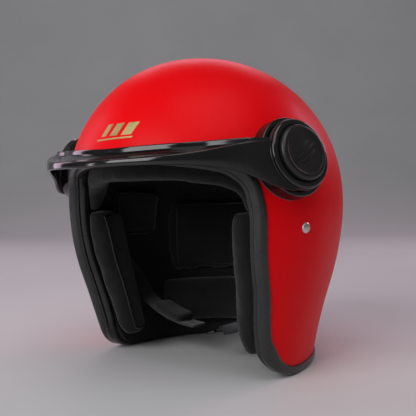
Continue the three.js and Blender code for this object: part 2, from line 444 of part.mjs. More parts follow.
// Flat band along points; side[i] is the width direction, hw[i] the half width.
function band(pts, side, hw, t = WEB_T) {
  const sec = pts.map((p, i) => {
    const T = pts[Math.min(i + 1, pts.length - 1)].clone().sub(pts[Math.max(i - 1, 0)]).normalize();
    const w = side[i].clone().addScaledVector(T, -side[i].dot(T)).normalize();
    const n = new THREE.Vector3().crossVectors(T, w).normalize();
    return [[-1, -1], [1, -1], [1, 1], [-1, 1]].map(([a, b]) => p.clone().addScaledVector(w, a * hw[i]).addScaledVector(n, b * t / 2));
  });
  return loft(sec);
}
const gapX = (y, z) => atYZ(y, z, -EPS_RIM - 2.2);
const upperPts = [rivetAt.clone().addScaledVector(rivetN, -12.6).addScaledVector(rivetV, 1), rivetAt.clone().addScaledVector(rivetN, -12.8).addScaledVector(rivetV, -9),
  rivetAt.clone().addScaledVector(rivetN, -14.6).addScaledVector(rivetV, -18).addScaledVector(rivetU, 2), gapX(-17.5, 95.8), gapX(-11.5, 90), gapX(-5.5, 83.8), gapX(0.5, 77.6)];
{
  const side = upperPts.map((p, i) => rivetU.clone().lerp(V(0, 0.71, 0.71), smooth(1, 5, i)).normalize());
  addPair('strap_web_upper', band(upperPts, side, upperPts.map((_, i) => i === 0 ? 9 : WEB_W / 2 * (i === 6 ? 0.45 : i === 5 ? 0.9 : 1))), 'web');
}
const swingX = gapX(SWING_Y, SWING_Z).x;
const lowerL = [V(swingX - 0.6, SWING_Y + 2.0, SWING_Z - 2.0), V(swingX - 3.4, SWING_Y + 5, SWING_Z - 8), V(swingX - 10, SWING_Y + 5, SWING_Z - 16), V(swingX - 20, SWING_Y + 3.5, SWING_Z - 24.5), V(58.5, 5.6, 42.6)];
const lowerSide = [V(0, 0.7, 0.7), V(0, 0.82, 0.55), V(0, 0.95, 0.25), Y, Y];
add('strap_web_left', band(lowerL, lowerSide, [3.5, 9, 10, 10, 10]), 'web');
const lowerR = [...lowerL.slice(0, 4).map(p => V(-p.x, p.y, p.z)), V(-56, 5.3, 41), V(-38, 4.8, 33), V(-20, 4.6, 28.6), V(-6.5, 4.6, 27)];
add('strap_web_right', band(lowerR, [V(0, 0.7, 0.7), V(0, 0.82, 0.55), V(0, 0.95, 0.25), Y, Y, Y, Y, Y], [3.5, 9, 10, 10, 10, 10, 10, 10]), 'web');
// chin pad: a soft sleeve laid under the band
{
  const pts = lowerR.slice(4, 7).map(p => p.clone()); pts[0].lerp(pts[1], 0.1);
  const sec = pts.map((p, i) => { const T = pts[Math.min(i + 1, 2)].clone().sub(pts[Math.max(i - 1, 0)]).normalize(), n = new THREE.Vector3().crossVectors(Y, T).normalize(); if (n.z < 0) n.negate();
    const h = 5.2; return [[-13, 1.4], [13, 1.4], [13, 1.4 + h * 0.6], [9, 1.4 + h], [-9, 1.4 + h], [-13, 1.4 + h * 0.6]].map(([a, b]) => p.clone().addScaledVector(Y, a).addScaledVector(n, b)); });
  add('chin_pad', loft(sec), 'pad');
}
// Micrometric buckle on its own frame: bx runs from the left web's end to the tongue
const bx0 = V(57.2, 5.4, 41.8), bx1 = V(20.5, 4.7, 29.4);
const bX = bx1.clone().sub(bx0).normalize(), bY = Y.clone().addScaledVector(bX, -Y.dot(bX)).normalize(), bZ = new THREE.Vector3().crossVectors(bY, bX).normalize();
if (bZ.z > 0) bZ.negate();                       // buckle's outer face looks down and out
const bp = (a, b, c) => bx0.clone().addScaledVector(bX, a).addScaledVector(bY, b).addScaledVector(bZ, c);
const bBox = (a0, a1, b0, b1, c0, c1) => block(bp((a0 + a1) / 2, (b0 + b1) / 2, (c0 + c1) / 2), bX, bY, bZ, [a1 - a0, b1 - b0, c1 - c0]);
const AX_A = 12, AX_C = 4.6;                     // lever axle on the buckle frame
const axleHole = turned([[0, -15], [1.75, -15], [1.75, 15], [0, 15]], bp(AX_A, 0, AX_C), bY, 14);
add('buckle_body', cut(join(bBox(0.6, 36, -12, 12, -1.2, 0.4), bBox(4, 33, -12, -10.4, 0.2, 7.2), bBox(4, 33, 10.4, 12, 0.2, 7.2)), axleHole), 'steel');
add('buckle_axle', turned([[0, -12.6], [2.4, -12.6], [2.4, -12.25], [1.4, -12.25], [1.4, 12.25], [2.4, 12.25], [2.4, 12.6], [0, 12.6]], bp(AX_A, 0, AX_C), bY, 14), 'steel');
add('buckle_lever', cut(join(turned([[0, -9.6], [3.0, -9.6], [3.0, 9.6], [0, 9.6]], bp(AX_A, 0, AX_C), bY, 14), bBox(12, 31, -9.6, 9.6, 5.6, 7.5), bBox(24, 25.6, -6, 6, 3.9, 6)), axleHole), 'dark');
add('ratchet_tongue', join(bBox(14.5, 46.6, -7, 7, 1.0, 2.6), ...[0, 1, 2, 3, 4].map(k => bBox(16 + 3.2 * k, 17.6 + 3.2 * k, -6, 6, 2.3, 3.4)), bBox(43, 51.2, -10.5, 10.5, 1.0, 3.4)), 'steel');

// ---------------------------------------------------------------- emblem
{
  const f = off => (u, v) => { const x = lerp(-20, 24, u) + lerp(-1.5, 3, v), z = lerp(186.5, 200, v) + lerp(0, 1.5, u); const o = V(x, 0, z); return V(x, -march(o, V(0, -1, 0), off), z); };
  add('brow_emblem', slab(f(0.75), f(GAP), 6, 2), 'gold');
}

for (const m of helmet.children) m.geometry.translate(0, Y_SHIFT, 0);
export default helmet;
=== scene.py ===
import json
import math
import bmesh
import bpy
import numpy as np
from mathutils import Matrix, Vector
from mathutils.bvhtree import BVHTree

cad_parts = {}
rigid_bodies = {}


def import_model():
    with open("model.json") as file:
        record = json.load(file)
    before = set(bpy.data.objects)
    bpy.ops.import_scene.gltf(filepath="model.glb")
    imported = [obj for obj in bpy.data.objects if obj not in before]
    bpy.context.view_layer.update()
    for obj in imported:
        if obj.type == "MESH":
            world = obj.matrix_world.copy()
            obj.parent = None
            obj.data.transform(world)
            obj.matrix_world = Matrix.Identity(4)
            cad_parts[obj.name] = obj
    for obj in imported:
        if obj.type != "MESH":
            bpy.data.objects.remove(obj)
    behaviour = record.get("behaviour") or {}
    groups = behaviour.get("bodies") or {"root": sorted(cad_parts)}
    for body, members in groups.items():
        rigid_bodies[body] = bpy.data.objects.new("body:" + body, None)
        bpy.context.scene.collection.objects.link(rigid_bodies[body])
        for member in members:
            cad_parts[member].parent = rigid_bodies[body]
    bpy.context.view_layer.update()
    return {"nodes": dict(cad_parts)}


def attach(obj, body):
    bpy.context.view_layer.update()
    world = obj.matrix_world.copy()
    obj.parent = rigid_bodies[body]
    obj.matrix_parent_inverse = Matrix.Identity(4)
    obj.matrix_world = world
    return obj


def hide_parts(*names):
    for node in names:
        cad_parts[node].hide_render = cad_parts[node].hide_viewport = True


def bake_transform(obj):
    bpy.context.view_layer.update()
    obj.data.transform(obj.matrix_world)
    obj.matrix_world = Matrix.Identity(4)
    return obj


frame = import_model()
scene = bpy.context.scene

# ------------------------------------------------------------ dimensions (mm, as in the CAD)
HALF_W, FRONT, REAR, CROWN, BELOW, Z_WIDE = 120.3, 118.2, 149.3, 127.4, 198.1, 137.0
P_PLAN, P_UP, P_DOWN = 1.94, 2.11, 1.75
SKIRT_START, SKIRT_RUN = 70.0, 60.0
Y_SHIFT = -5.3
EPS_RIM, EPS_DEEP, RIM_Z = 16.0, 25.0, 3.2
POD_N = np.array([0.918, -0.310, 0.247]); POD_N /= np.linalg.norm(POD_N)
BASE_R, EAR_R, COLLAR_R, CAP_R = 30.5, 27.2, 26.6, 21.2
BASE_H, EAR_H0, EAR_H1, COLLAR_H, CAP_H = 6.2, 8.5, 11.2, 14.2, 18.6
PEAK_A, PEAK_B = 125.0, 138.7
SWING_Y, SWING_Z = 5.0, 74.0
CENTRE = np.array([0.0, 0.0, Z_WIDE])
POLE = np.array([0.0, 0.65, 0.76]); POLE /= np.linalg.norm(POLE)


def m(p):
    """A point in CAD millimetres as metres in the frame."""
    p = np.asarray(p, float)
    return (p + np.array([0, Y_SHIFT, 0])) / 1000.0


def smooth(a, b, v):
    t = np.clip((np.asarray(v, float) - a) / (b - a), 0, 1)
    return t * t * (3 - 2 * t)


def unit(v):
    v = np.asarray(v, float)
    return v / np.linalg.norm(v, axis=-1, keepdims=True)


# ------------------------------------------------------------ shell form
def form(p, off):
    x, y, z = p[..., 0], p[..., 1], p[..., 2]
    a = HALF_W + off
    b = np.where(y < 0, FRONT, REAR) + off
    q = z - Z_WIDE
    lo = -q
    lo = np.where(lo > SKIRT_START, SKIRT_START + SKIRT_RUN * (1 - np.exp(-(np.maximum(lo, SKIRT_START) - SKIRT_START) / SKIRT_RUN)), lo)
    up = q >= 0
    g = np.where(up, q / (CROWN + off), lo / (BELOW + off))
    n = np.where(up, P_UP, P_DOWN)
    h = (np.abs(x / a) ** P_PLAN + np.abs(y / b) ** P_PLAN) ** (1 / P_PLAN)
    return h ** n + np.abs(g) ** n - 1


def march(o, d, off):
    """Distance along d from o to the surface lying off outside the shell."""
    o, d = np.broadcast_arrays(np.asarray(o, float), np.asarray(d, float))
    lo = np.zeros(o.shape[:-1]); hi = np.full(o.shape[:-1], 320.0)
    for _ in range(34):
        mid = (lo + hi) / 2
        p = o + d * mid[..., None]
        inside = form(p, off(p) if callable(off) else off) < 0
        lo = np.where(inside, mid, lo); hi = np.where(inside, hi, mid)
    return (lo + hi) / 2


def radial(d, off):
    d = unit(d)
    return CENTRE + d * march(CENTRE, d, off)[..., None]


def at_plan(phi, z, off):
    phi, z = np.broadcast_arrays(np.asarray(phi, float), np.asarray(z, float))
    o = np.stack([0 * z, 0 * z, z], -1)
    d = np.stack([np.sin(phi), -np.cos(phi), 0 * z], -1)
    return o + d * march(o, d, off)[..., None]


def at_yz(y, z, off):
    y, z = np.broadcast_arrays(np.asarray(y, float), np.asarray(z, float))
    o = np.stack([0 * z, y, z], -1)
    return o + np.array([1.0, 0, 0]) * march(o, np.array([1.0, 0, 0]), off)[..., None]


def at_xz(x, z, off):
    x, z = np.broadcast_arrays(np.asarray(x, float), np.asarray(z, float))
    o = np.stack([x, 0 * z, z], -1)
    return o - np.array([0, 1.0, 0]) * march(o, np.array([0, -1.0, 0]), off)[..., None]


def normal_at(p, off=0.0):
    e = 0.05
    p = np.asarray(p, float)
    g = [form(p + np.eye(3)[k] * e, off) - form(p - np.eye(3)[k] * e, off) for k in range(3)]
    return unit(np.stack(g, -1))


def eps_in(p):
    d = unit(p - CENTRE)
    s = smooth(-0.1, 0.45, d @ POLE)
    return -(EPS_RIM + (EPS_DEEP - EPS_RIM) * s)


# ------------------------------------------------------------ opening edge
N_RIM = 384
SKIP = N_RIM // 64
half = [at_xz(x, z, 0) for x, z in [(0, 176), (20, 175.8), (40, 174.8), (58, 173), (73, 170.4), (84, 167)]]
half += [at_yz(y, z, 0) for y, z in [(-74.5, 163), (-69.5, 157.5), (-66.2, 150), (-64.2, 140), (-62.6, 130), (-61.4, 118), (-60, 106), (-57.6, 94),
         (-54.4, 82), (-51, 72), (-47.6, 61), (-44.6, 50), (-41.4, 39), (-36.8, 27), (-29.6, 16), (-19, 8), (-6, 4.2), (10, RIM_Z), (26, RIM_Z), (42, RIM_Z), (58, RIM_Z)]]
half += [at_plan(math.radians(a), z, 0) for a, z in [(136, RIM_Z), (147, 3.9), (158, 5.4), (169, 7), (180, 7.8)]]
ctrl = np.array(half + [p * np.array([-1, 1, 1]) for p in half[1:-1][::-1]])


def catmull(points, closed, per):
    """Centripetal Catmull-Rom through the points, per samples a span."""
    P = np.asarray(points, float); n = len(P); out = []
    spans = n if closed else n - 1
    for i in range(spans):
        g = lambda k: P[k % n] if closed else (P[k] if 0 <= k < n else (2 * P[0] - P[1] if k < 0 else 2 * P[-1] - P[-2]))
        p0, p1, p2, p3 = g(i - 1), g(i), g(i + 1), g(i + 2)
        d0, d1, d2 = [max(1e-4, np.linalg.norm(b - a) ** 0.5) for a, b in ((p0, p1), (p1, p2), (p2, p3))]
        t1 = ((p1 - p0) / d0 - (p2 - p0) / (d0 + d1) + (p2 - p1) / d1) * d1
        t2 = ((p2 - p1) / d1 - (p3 - p1) / (d1 + d2) + (p3 - p2) / d2) * d1
        t = np.linspace(0, 1, per, endpoint=False)[:, None]
        out.append(p1 + t1 * t + (-3 * p1 + 3 * p2 - 2 * t1 - t2) * t ** 2 + (2 * p1 - 2 * p2 + t1 + t2) * t ** 3)
    out = np.concatenate(out)
    return out if closed else np.vstack([out, P[-1]])


def resample(pts, n, closed=False):
    P = np.vstack([pts, pts[:1]]) if closed else np.asarray(pts, float)
    L = np.concatenate([[0], np.cumsum(np.linalg.norm(np.diff(P, axis=0), axis=1))])
    s = np.linspace(0, L[-1], n, endpoint=not closed)
    return np.stack([np.interp(s, L, P[:, k]) for k in range(3)], -1)


raw = resample(catmull(ctrl, True, 60), N_RIM, True)
flatpart = (raw[:, 2] < RIM_Z + 0.25) & (raw[:, 1] > 8) & (raw[:, 1] < 75)
RIM = at_plan(np.arctan2(raw[:, 0], -raw[:, 1]), np.where(flatpart, RIM_Z, raw[:, 2]), 0)
hN = N_RIM // 2
RIM[0, 0] = RIM[hN, 0] = 0
RIM[hN + 1:] = RIM[1:hN][::-1] * np.array([-1, 1, 1])
R_T = unit(np.roll(RIM, -2, 0) - np.roll(RIM, 2, 0))
R_N = normal_at(RIM)
R_F = smooth(34, 8, RIM[:, 2])
R_NB = unit(np.stack([R_N[:, 0], R_N[:, 1], R_N[:, 2] * (1 - R_F)], -1))
R_S = unit(np.cross(R_T, R_N))
R_S = np.where((R_S @ POLE)[:, None] > 0, -R_S, R_S)
_k = np.where(np.abs(R_S[:, 2]) > 0.3, 1 + (1 / np.maximum(0.3, np.abs(R_S[:, 2])) - 1) * R_F, 1)
R_S = R_S * _k[:, None]
R_C = 1 / np.maximum(0.5, (R_N * R_NB).sum(-1))


def layer_rim(depth):
    return RIM - R_NB * (depth * R_C)[:, None]


def slerp(a, b, t):
    w = np.arccos(np.clip((a * b).sum(-1), -1, 1)); s = np.maximum(np.sin(w), 1e-6)
    return unit(a * (np.sin((1 - t) * w) / s)[..., None] + b * (np.sin(t * w) / s)[..., None])


# ------------------------------------------------------------ mesh helpers
def new_mesh(name, verts, faces, mat=None, smooth_deg=40, raw_m=False):
    me = bpy.data.meshes.new(name)
    v = np.asarray(verts, float)
    v = v if raw_m else m(v)
    me.from_pydata(v.tolist(), [], [list(map(int, f)) for f in faces])
    me.validate()
    bm = bmesh.new(); bm.from_mesh(me)
    bmesh.ops.recalc_face_normals(bm, faces=bm.faces)
    if bm.calc_volume(signed=True) < 0:
        bmesh.ops.reverse_faces(bm, faces=bm.faces)
    bm.to_mesh(me); bm.free()
    me.shade_smooth()
    if smooth_deg:
        me.set_sharp_from_angle(angle=math.radians(smooth_deg))
    o = bpy.data.objects.new(name, me)
    scene.collection.objects.link(o)
    if mat is not None:
        me.materials.append(mat)
    return o


def grid(nu, nv, base=0, wrap=False, flip=False):
    """Quads of a grid with nu columns and nv rows of vertices, rows contiguous."""
    cols = nu if wrap else nu - 1
    out = []
    for j in range(nv - 1):
        for i in range(cols):
            a, b = base + j * nu + i, base + j * nu + (i + 1) % nu
            c, d = base + (j + 1) * nu + (i + 1) % nu, base + (j + 1) * nu + i
            out.append((a, d, c, b) if flip else (a, b, c, d))
    return out


def wall(name, rings, out_off, in_off, out_depth, in_depth, mat, rim_round=0.0):
    parts, faces = [], []
    tt = np.linspace(0, 1, rings + 1)[1:]
    if rim_round:
        tt = np.concatenate([tt[:-1], [1 - 0.004, 1]])
    for k, (off, depth) in enumerate(((out_off, out_depth), (in_off, in_depth))):
        edge = layer_rim(depth); de = edge - CENTRE; L = np.linalg.norm(de, axis=1); de = unit(de)
        re = march(CENTRE, de, off)
        rows = []
        for t in tt:
            d = slerp(np.broadcast_to(POLE, de.shape), de, t)
            r = march(CENTRE, d, off) + (L - re) * t ** 5
            rows.append(CENTRE + d * r[:, None])
        pts = np.concatenate(rows)
        base = sum(len(p) for p in parts)
        parts.append(np.vstack([radial(POLE, off)[None], pts]))
        faces += [((base, base + 1 + i, base + 1 + (i + 1) % N_RIM) if k == 0 else (base, base + 1 + (i + 1) % N_RIM, base + 1 + i)) for i in range(N_RIM)]
        faces += grid(N_RIM, len(tt), base + 1, True, k == 0)
        if k == 0:
            rim0 = base + 1 + (len(tt) - 1) * N_RIM
        else:
            rim1 = base + 1 + (len(tt) - 1) * N_RIM
    for i in range(N_RIM):
        j = (i + 1) % N_RIM
        faces.append((rim0 + i, rim0 + j, rim1 + j, rim1 + i))
    return new_mesh(name, np.concatenate(parts), faces, mat)


def sweep(name, sections, mat, closed=False, deg=50):
    """Sections: array (n, k, 3); each is a closed loop; unless closed, each end is capped by one n-gon face."""
    S = np.asarray(sections, float); n, k = S.shape[:2]
    verts = S.reshape(-1, 3)
    faces = []
    for i in range(n if closed else n - 1):
        for j in range(k):
            a, b = i * k + j, i * k + (j + 1) % k
            c, d = ((i + 1) % n) * k + (j + 1) % k, ((i + 1) % n) * k + j
            faces.append((a, b, c, d))
    if not closed:
        faces.append(tuple(range(k)))
        faces.append(tuple((n - 1) * k + j for j in range(k))[::-1])
    return new_mesh(name, verts, faces, mat, deg)


def frame_of(axis):
    a = unit(axis)
    u = np.cross(a, [0, 0, 1.0])
    u = unit(u) if np.linalg.norm(u) > 1e-3 else np.array([1.0, 0, 0])
    return a, u, np.cross(a, u)


def lathe(name, profile, at, axis, mat, seg=96, deg=35, closed_profile=False):
    a, u, w = frame_of(axis)
    prof = list(profile)
    th = np.linspace(0, 2 * math.pi, seg, endpoint=False)
    verts, faces, rows = [], [], []
    for r, h in prof:
        if r < 1e-6:
            rows.append([len(verts)]); verts.append(np.asarray(at) + a * h)
        else:
            rows.append(list(range(len(verts), len(verts) + seg)))
            verts += [np.asarray(at) + a * h + (u * math.cos(t) + w * math.sin(t)) * r for t in th]
    pairs = list(zip(rows[:-1], rows[1:])) + ([(rows[-1], rows[0])] if closed_profile else [])
    for A, B in pairs:
        for i in range(seg):
            j = (i + 1) % seg
            if len(A) == 1 and len(B) == 1:
                continue
            if len(A) == 1:
                faces.append((A[0], B[i], B[j]))
            elif len(B) == 1:
                faces.append((A[i], B[0], A[j]))
            else:
                faces.append((A[i], B[i], B[j], A[j]))
    return new_mesh(name, verts, faces, mat, deg)


def fillet(profile, radii, steps=5):
    """Rounds the corners of an open [r, h] profile."""
    P = [np.array(p, float) for p in profile]; out = [P[0]]
    for i in range(1, len(P) - 1):
        r = radii[i] if isinstance(radii, (list, tuple)) else radii
        a, b = P[i - 1] - P[i], P[i + 1] - P[i]
        la, lb = np.linalg.norm(a), np.linalg.norm(b)
        r = min(r, la * 0.45, lb * 0.45)
        if r < 1e-3:
            out.append(P[i]); continue
        s, e = P[i] + a / la * r, P[i] + b / lb * r
        for t in np.linspace(0, 1, steps):
            out.append((1 - t) ** 2 * s + 2 * t * (1 - t) * P[i] + t ** 2 * e)
    out.append(P[-1])
    return [tuple(p) for p in out]


def mirrored(o, name):
    c = o.copy(); c.data = o.data.copy(); c.name = name; c.data.name = name
    scene.collection.objects.link(c)
    c.data.transform(Matrix.Scale(-1, 4, Vector((1, 0, 0))))
    c.data.flip_normals()
    return c


def box_on(name, c, ex, ey, ez, size, mat, bevel=0.4, seg=3):
    bm = bmesh.new()
    bmesh.ops.create_cube(bm, size=1.0)
    for v in bm.verts:
        q = np.asarray(c) + np.asarray(ex) * v.co.x * size[0] + np.asarray(ey) * v.co.y * size[1] + np.asarray(ez) * v.co.z * size[2]
        v.co = Vector(m(q))
    bmesh.ops.recalc_face_normals(bm, faces=bm.faces)
    if bevel:
        bmesh.ops.bevel(bm, geom=list(bm.edges), offset=bevel / 1000, segments=seg, profile=0.5, affect="EDGES", clamp_overlap=True)
    me = bpy.data.meshes.new(name); bm.to_mesh(me); bm.free()
    me.shade_smooth(); me.set_sharp_from_angle(angle=math.radians(35))
    o = bpy.data.objects.new(name, me); scene.collection.objects.link(o); me.materials.append(mat)
    return o


def joined(name, *objs):
    for o in scene.objects:
        o.select_set(False)
    for o in objs:
        o.select_set(True)
    bpy.context.view_layer.objects.active = objs[0]
    bpy.ops.object.join()
    objs[0].name = name
    objs[0].data.name = name
    return objs[0]


# ------------------------------------------------------------ materials
def material(name, color=(0.5, 0.5, 0.5), rough=0.5, metal=0.0, **sock):
    mt = bpy.data.materials.new(name); mt.use_nodes = True
    nt = mt.node_tree; b = nt.nodes["Principled BSDF"]
    b.inputs["Base Color"].default_value = (*color, 1)
    b.inputs["Roughness"].default_value = rough
    b.inputs["Metallic"].default_value = metal
    for k, v in sock.items():
        b.inputs[k.replace("_", " ")].default_value = v
    return mt, nt, b


def noise(nt, scale, detail=4, rough=0.55, coords=None, kind="ShaderNodeTexNoise"):
    n = nt.nodes.new(kind); n.inputs["Scale"].default_value = scale
    if "Detail" in n.inputs: n.inputs["Detail"].default_value = detail
    if "Roughness" in n.inputs: n.inputs["Roughness"].default_value = rough
    nt.links.new(coords if coords is not None else coord(nt), n.inputs["Vector"])
    return n


def coord(nt):
    for n in nt.nodes:
        if n.type == "TEX_COORD":
            return n.outputs["Object"]
    return nt.nodes.new("ShaderNodeTexCoord").outputs["Object"]


def ramp(nt, src, stops):
    r = nt.nodes.new("ShaderNodeValToRGB"); nt.links.new(src, r.inputs["Fac"])
    el = r.color_ramp.elements
    while len(el) < len(stops): el.new(0.5)
    for e, (p, c) in zip(el, stops):
        e.position = p; e.color = (*c, 1) if len(c) == 3 else c
    return r.outputs["Color"]


def grey(v): return (v, v, v)


def bump(nt, b, height, strength, distance=0.001, chain=None):
    n = nt.nodes.new("ShaderNodeBump"); n.inputs["Strength"].default_value = strength; n.inputs["Distance"].default_value = distance
    nt.links.new(height, n.inputs["Height"])
    if chain is not None: nt.links.new(chain, n.inputs["Normal"])
    nt.links.new(n.outputs["Normal"], b.inputs["Normal"])
    return n.outputs["Normal"]


def math_node(nt, op, a, b_):
    n = nt.nodes.new("ShaderNodeMath"); n.operation = op
    for i, v in enumerate((a, b_)):
        if isinstance(v, (int, float)): n.inputs[i].default_value = v
        else: nt.links.new(v, n.inputs[i])
    return n.outputs[0]


def make_paint():
    mt, nt, b = material("shell_red_lacquer", (0.80, 0.0, 0.004), 0.42, Specular_IOR_Level=0.09, Coat_Weight=0.04, Coat_Roughness=0.22, Coat_IOR=1.4)
    n1 = noise(nt, 6, 3); nt.links.new(ramp(nt, n1.outputs["Fac"], [(0.3, (0.80, 0.0, 0.002)), (0.7, (0.88, 0.0, 0.006))]), b.inputs["Base Color"])
    n2 = noise(nt, 55, 5); nt.links.new(ramp(nt, n2.outputs["Fac"], [(0.3, grey(0.40)), (0.75, grey(0.46))]), b.inputs["Roughness"])
    n3 = noise(nt, 420, 2); bump(nt, b, n3.outputs["Fac"], 0.03, 0.0006)
    return mt


def make_vinyl():
    mt, nt, b = material("edge_vinyl", (0.016, 0.017, 0.018), 0.42)
    n1 = noise(nt, 30, 4); nt.links.new(ramp(nt, n1.outputs["Fac"], [(0.3, (0.011, 0.0115, 0.012)), (0.75, (0.022, 0.023, 0.024))]), b.inputs["Base Color"])
    n2 = noise(nt, 120, 5); nt.links.new(ramp(nt, n2.outputs["Fac"], [(0.3, grey(0.25)), (0.75, grey(0.36))]), b.inputs["Roughness"])
    v = noise(nt, 900, kind="ShaderNodeTexVoronoi"); bump(nt, b, v.outputs["Distance"], 0.10, 0.0005)
    return mt


def make_gloss(name="gloss_black", base=0.0045, r0=0.10, r1=0.18):
    mt, nt, b = material(name, grey(base), 0.14, Coat_Weight=0.3, Coat_Roughness=0.06)
    n1 = noise(nt, 40, 4); nt.links.new(ramp(nt, n1.outputs["Fac"], [(0.3, grey(base * 0.8)), (0.75, grey(base * 1.5))]), b.inputs["Base Color"])
    n2 = noise(nt, 160, 6, 0.65); nt.links.new(ramp(nt, n2.outputs["Fac"], [(0.35, grey(r0)), (0.75, grey(r1))]), b.inputs["Roughness"])
    n3 = noise(nt, 600, 2); bump(nt, b, n3.outputs["Fac"], 0.02, 0.0005)
    return mt


def make_peak():
    mt, nt, b = material("peak_black", grey(0.0045), 0.14, Coat_Weight=0.15, Coat_Roughness=0.1)
    n1 = noise(nt, 40, 4); nt.links.new(ramp(nt, n1.outputs["Fac"], [(0.3, grey(0.0036)), (0.75, grey(0.0065))]), b.inputs["Base Color"])
    sep = nt.nodes.new("ShaderNodeSeparateXYZ"); nt.links.new(coord(nt), sep.inputs[0])
    ax_ = math_node(nt, "ABSOLUTE", sep.outputs["X"], 0.0)
    n2 = noise(nt, 160, 5, 0.6)
    side = math_node(nt, "MULTIPLY", math_node(nt, "SUBTRACT", ax_, 0.062), 16.0)
    grain = math_node(nt, "MULTIPLY", n2.outputs["Fac"], 0.06)
    sat = nt.nodes.new("ShaderNodeClamp"); nt.links.new(side, sat.inputs["Value"])
    nt.links.new(math_node(nt, "ADD", math_node(nt, "MULTIPLY", sat.outputs[0], 0.26), math_node(nt, "ADD", grain, 0.09)), b.inputs["Roughness"])
    n3 = noise(nt, 600, 2); bump(nt, b, n3.outputs["Fac"], 0.02, 0.0005)
    return mt


def make_grain(name="moulded_grain", base=0.008, rough=0.45):
    mt, nt, b = material(name, grey(base), rough)
    n1 = noise(nt, 50, 4); nt.links.new(ramp(nt, n1.outputs["Fac"], [(0.3, grey(base * 0.85)), (0.75, grey(base * 1.2))]), b.inputs["Base Color"])
    n2 = noise(nt, 200, 5); nt.links.new(ramp(nt, n2.outputs["Fac"], [(0.3, grey(rough - 0.03)), (0.75, grey(rough + 0.04))]), b.inputs["Roughness"])
    v = noise(nt, 1500, 3); bump(nt, b, v.outputs["Fac"], 0.12, 0.0003)
    return mt


def make_mesh_fabric(name, lo, hi, scale=620, depth=0.5):
    """Spacer-mesh fabric: small open cells over a slightly mottled ground."""
    mt, nt, b = material(name, hi, 0.92, Sheen_Weight=0.12, Sheen_Roughness=0.5, Specular_IOR_Level=0.3)
    vor = noise(nt, scale, kind="ShaderNodeTexVoronoi"); vor.feature = "F1"; vor.inputs["Randomness"].default_value = 0.25
    n1 = noise(nt, 22, 5, 0.6)
    n2 = noise(nt, 2600, 2)
    cells = ramp(nt, vor.outputs["Distance"], [(0.05, grey(0.25)), (0.45, grey(1.0))])
    tone = ramp(nt, n1.outputs["Fac"], [(0.3, lo), (0.72, hi)])
    mx = nt.nodes.new("ShaderNodeMix"); mx.data_type = "RGBA"; mx.blend_type = "MULTIPLY"; mx.inputs["Factor"].default_value = 0.75
    nt.links.new(tone, mx.inputs["A"]); nt.links.new(cells, mx.inputs["B"])
    nt.links.new(mx.outputs["Result"], b.inputs["Base Color"])
    nt.links.new(ramp(nt, n2.outputs["Fac"], [(0.3, grey(0.82)), (0.75, grey(0.98))]), b.inputs["Roughness"])
    c = bump(nt, b, vor.outputs["Distance"], depth, 0.0007)
    bump(nt, b, n2.outputs["Fac"], 0.25, 0.0003, c)
    return mt


def make_knit(name, lo, hi):
    """Brushed knit: fine ribs with fuzz."""
    mt, nt, b = material(name, hi, 0.95, Sheen_Weight=0.25, Sheen_Roughness=0.5, Specular_IOR_Level=0.3)
    n1 = noise(nt, 30, 6, 0.62); nt.links.new(ramp(nt, n1.outputs["Fac"], [(0.3, lo), (0.72, hi)]), b.inputs["Base Color"])
    w = nt.nodes.new("ShaderNodeTexWave"); w.inputs["Scale"].default_value = 330; w.inputs["Distortion"].default_value = 1.5; w.inputs["Detail"].default_value = 2
    w.bands_direction = "Z"; nt.links.new(coord(nt), w.inputs["Vector"])
    n2 = noise(nt, 1800, 3); nt.links.new(ramp(nt, n2.outputs["Fac"], [(0.3, grey(0.86)), (0.75, grey(0.99))]), b.inputs["Roughness"])
    c = bump(nt, b, w.outputs["Fac"], 0.3, 0.0003)
    bump(nt, b, n2.outputs["Fac"], 0.35, 0.0004, c)
    return mt


def make_webbing():
    mt, nt, b = material("webbing", (0.007, 0.007, 0.0075), 0.75, Sheen_Weight=0.3)
    w1 = nt.nodes.new("ShaderNodeTexWave"); w1.inputs["Scale"].default_value = 260; w1.bands_direction = "DIAGONAL"; nt.links.new(coord(nt), w1.inputs["Vector"])
    w2 = nt.nodes.new("ShaderNodeTexWave"); w2.inputs["Scale"].default_value = 420; w2.bands_direction = "Y"; nt.links.new(coord(nt), w2.inputs["Vector"])
    mul = math_node(nt, "MULTIPLY", w1.outputs["Fac"], w2.outputs["Fac"])
    nt.links.new(ramp(nt, mul, [(0.0, grey(0.004)), (0.8, grey(0.012))]), b.inputs["Base Color"])
    n2 = noise(nt, 900, 3); nt.links.new(ramp(nt, n2.outputs["Fac"], [(0.3, grey(0.66)), (0.75, grey(0.85))]), b.inputs["Roughness"])
    bump(nt, b, mul, 0.6, 0.0005)
    return mt


def make_steel(name="brushed_steel", col=(0.62, 0.58, 0.56), rough=0.3):
    mt, nt, b = material(name, col, rough, 1.0)
    n1 = noise(nt, 90, 5); nt.links.new(ramp(nt, n1.outputs["Fac"], [(0.3, tuple(c * 0.85 for c in col)), (0.7, tuple(min(1, c * 1.1) for c in col))]), b.inputs["Base Color"])
    n2 = noise(nt, 500, 6, 0.7); nt.links.new(ramp(nt, n2.outputs["Fac"], [(0.3, grey(rough - 0.08)), (0.75, grey(rough + 0.12))]), b.inputs["Roughness"])
    bump(nt, b, n2.outputs["Fac"], 0.08, 0.0003)
    return mt


def make_foam():
    mt, nt, b = material("bead_foam", grey(0.018), 0.85)
    v = noise(nt, 330, kind="ShaderNodeTexVoronoi")
    nt.links.new(ramp(nt, v.outputs["Distance"], [(0.0, grey(0.026)), (0.5, grey(0.010))]), b.inputs["Base Color"])
    n2 = noise(nt, 700, 3); nt.links.new(ramp(nt, n2.outputs["Fac"], [(0.3, grey(0.78)), (0.75, grey(0.92))]), b.inputs["Roughness"])
    bump(nt, b, v.outputs["Distance"], 0.5, 0.001)
    return mt


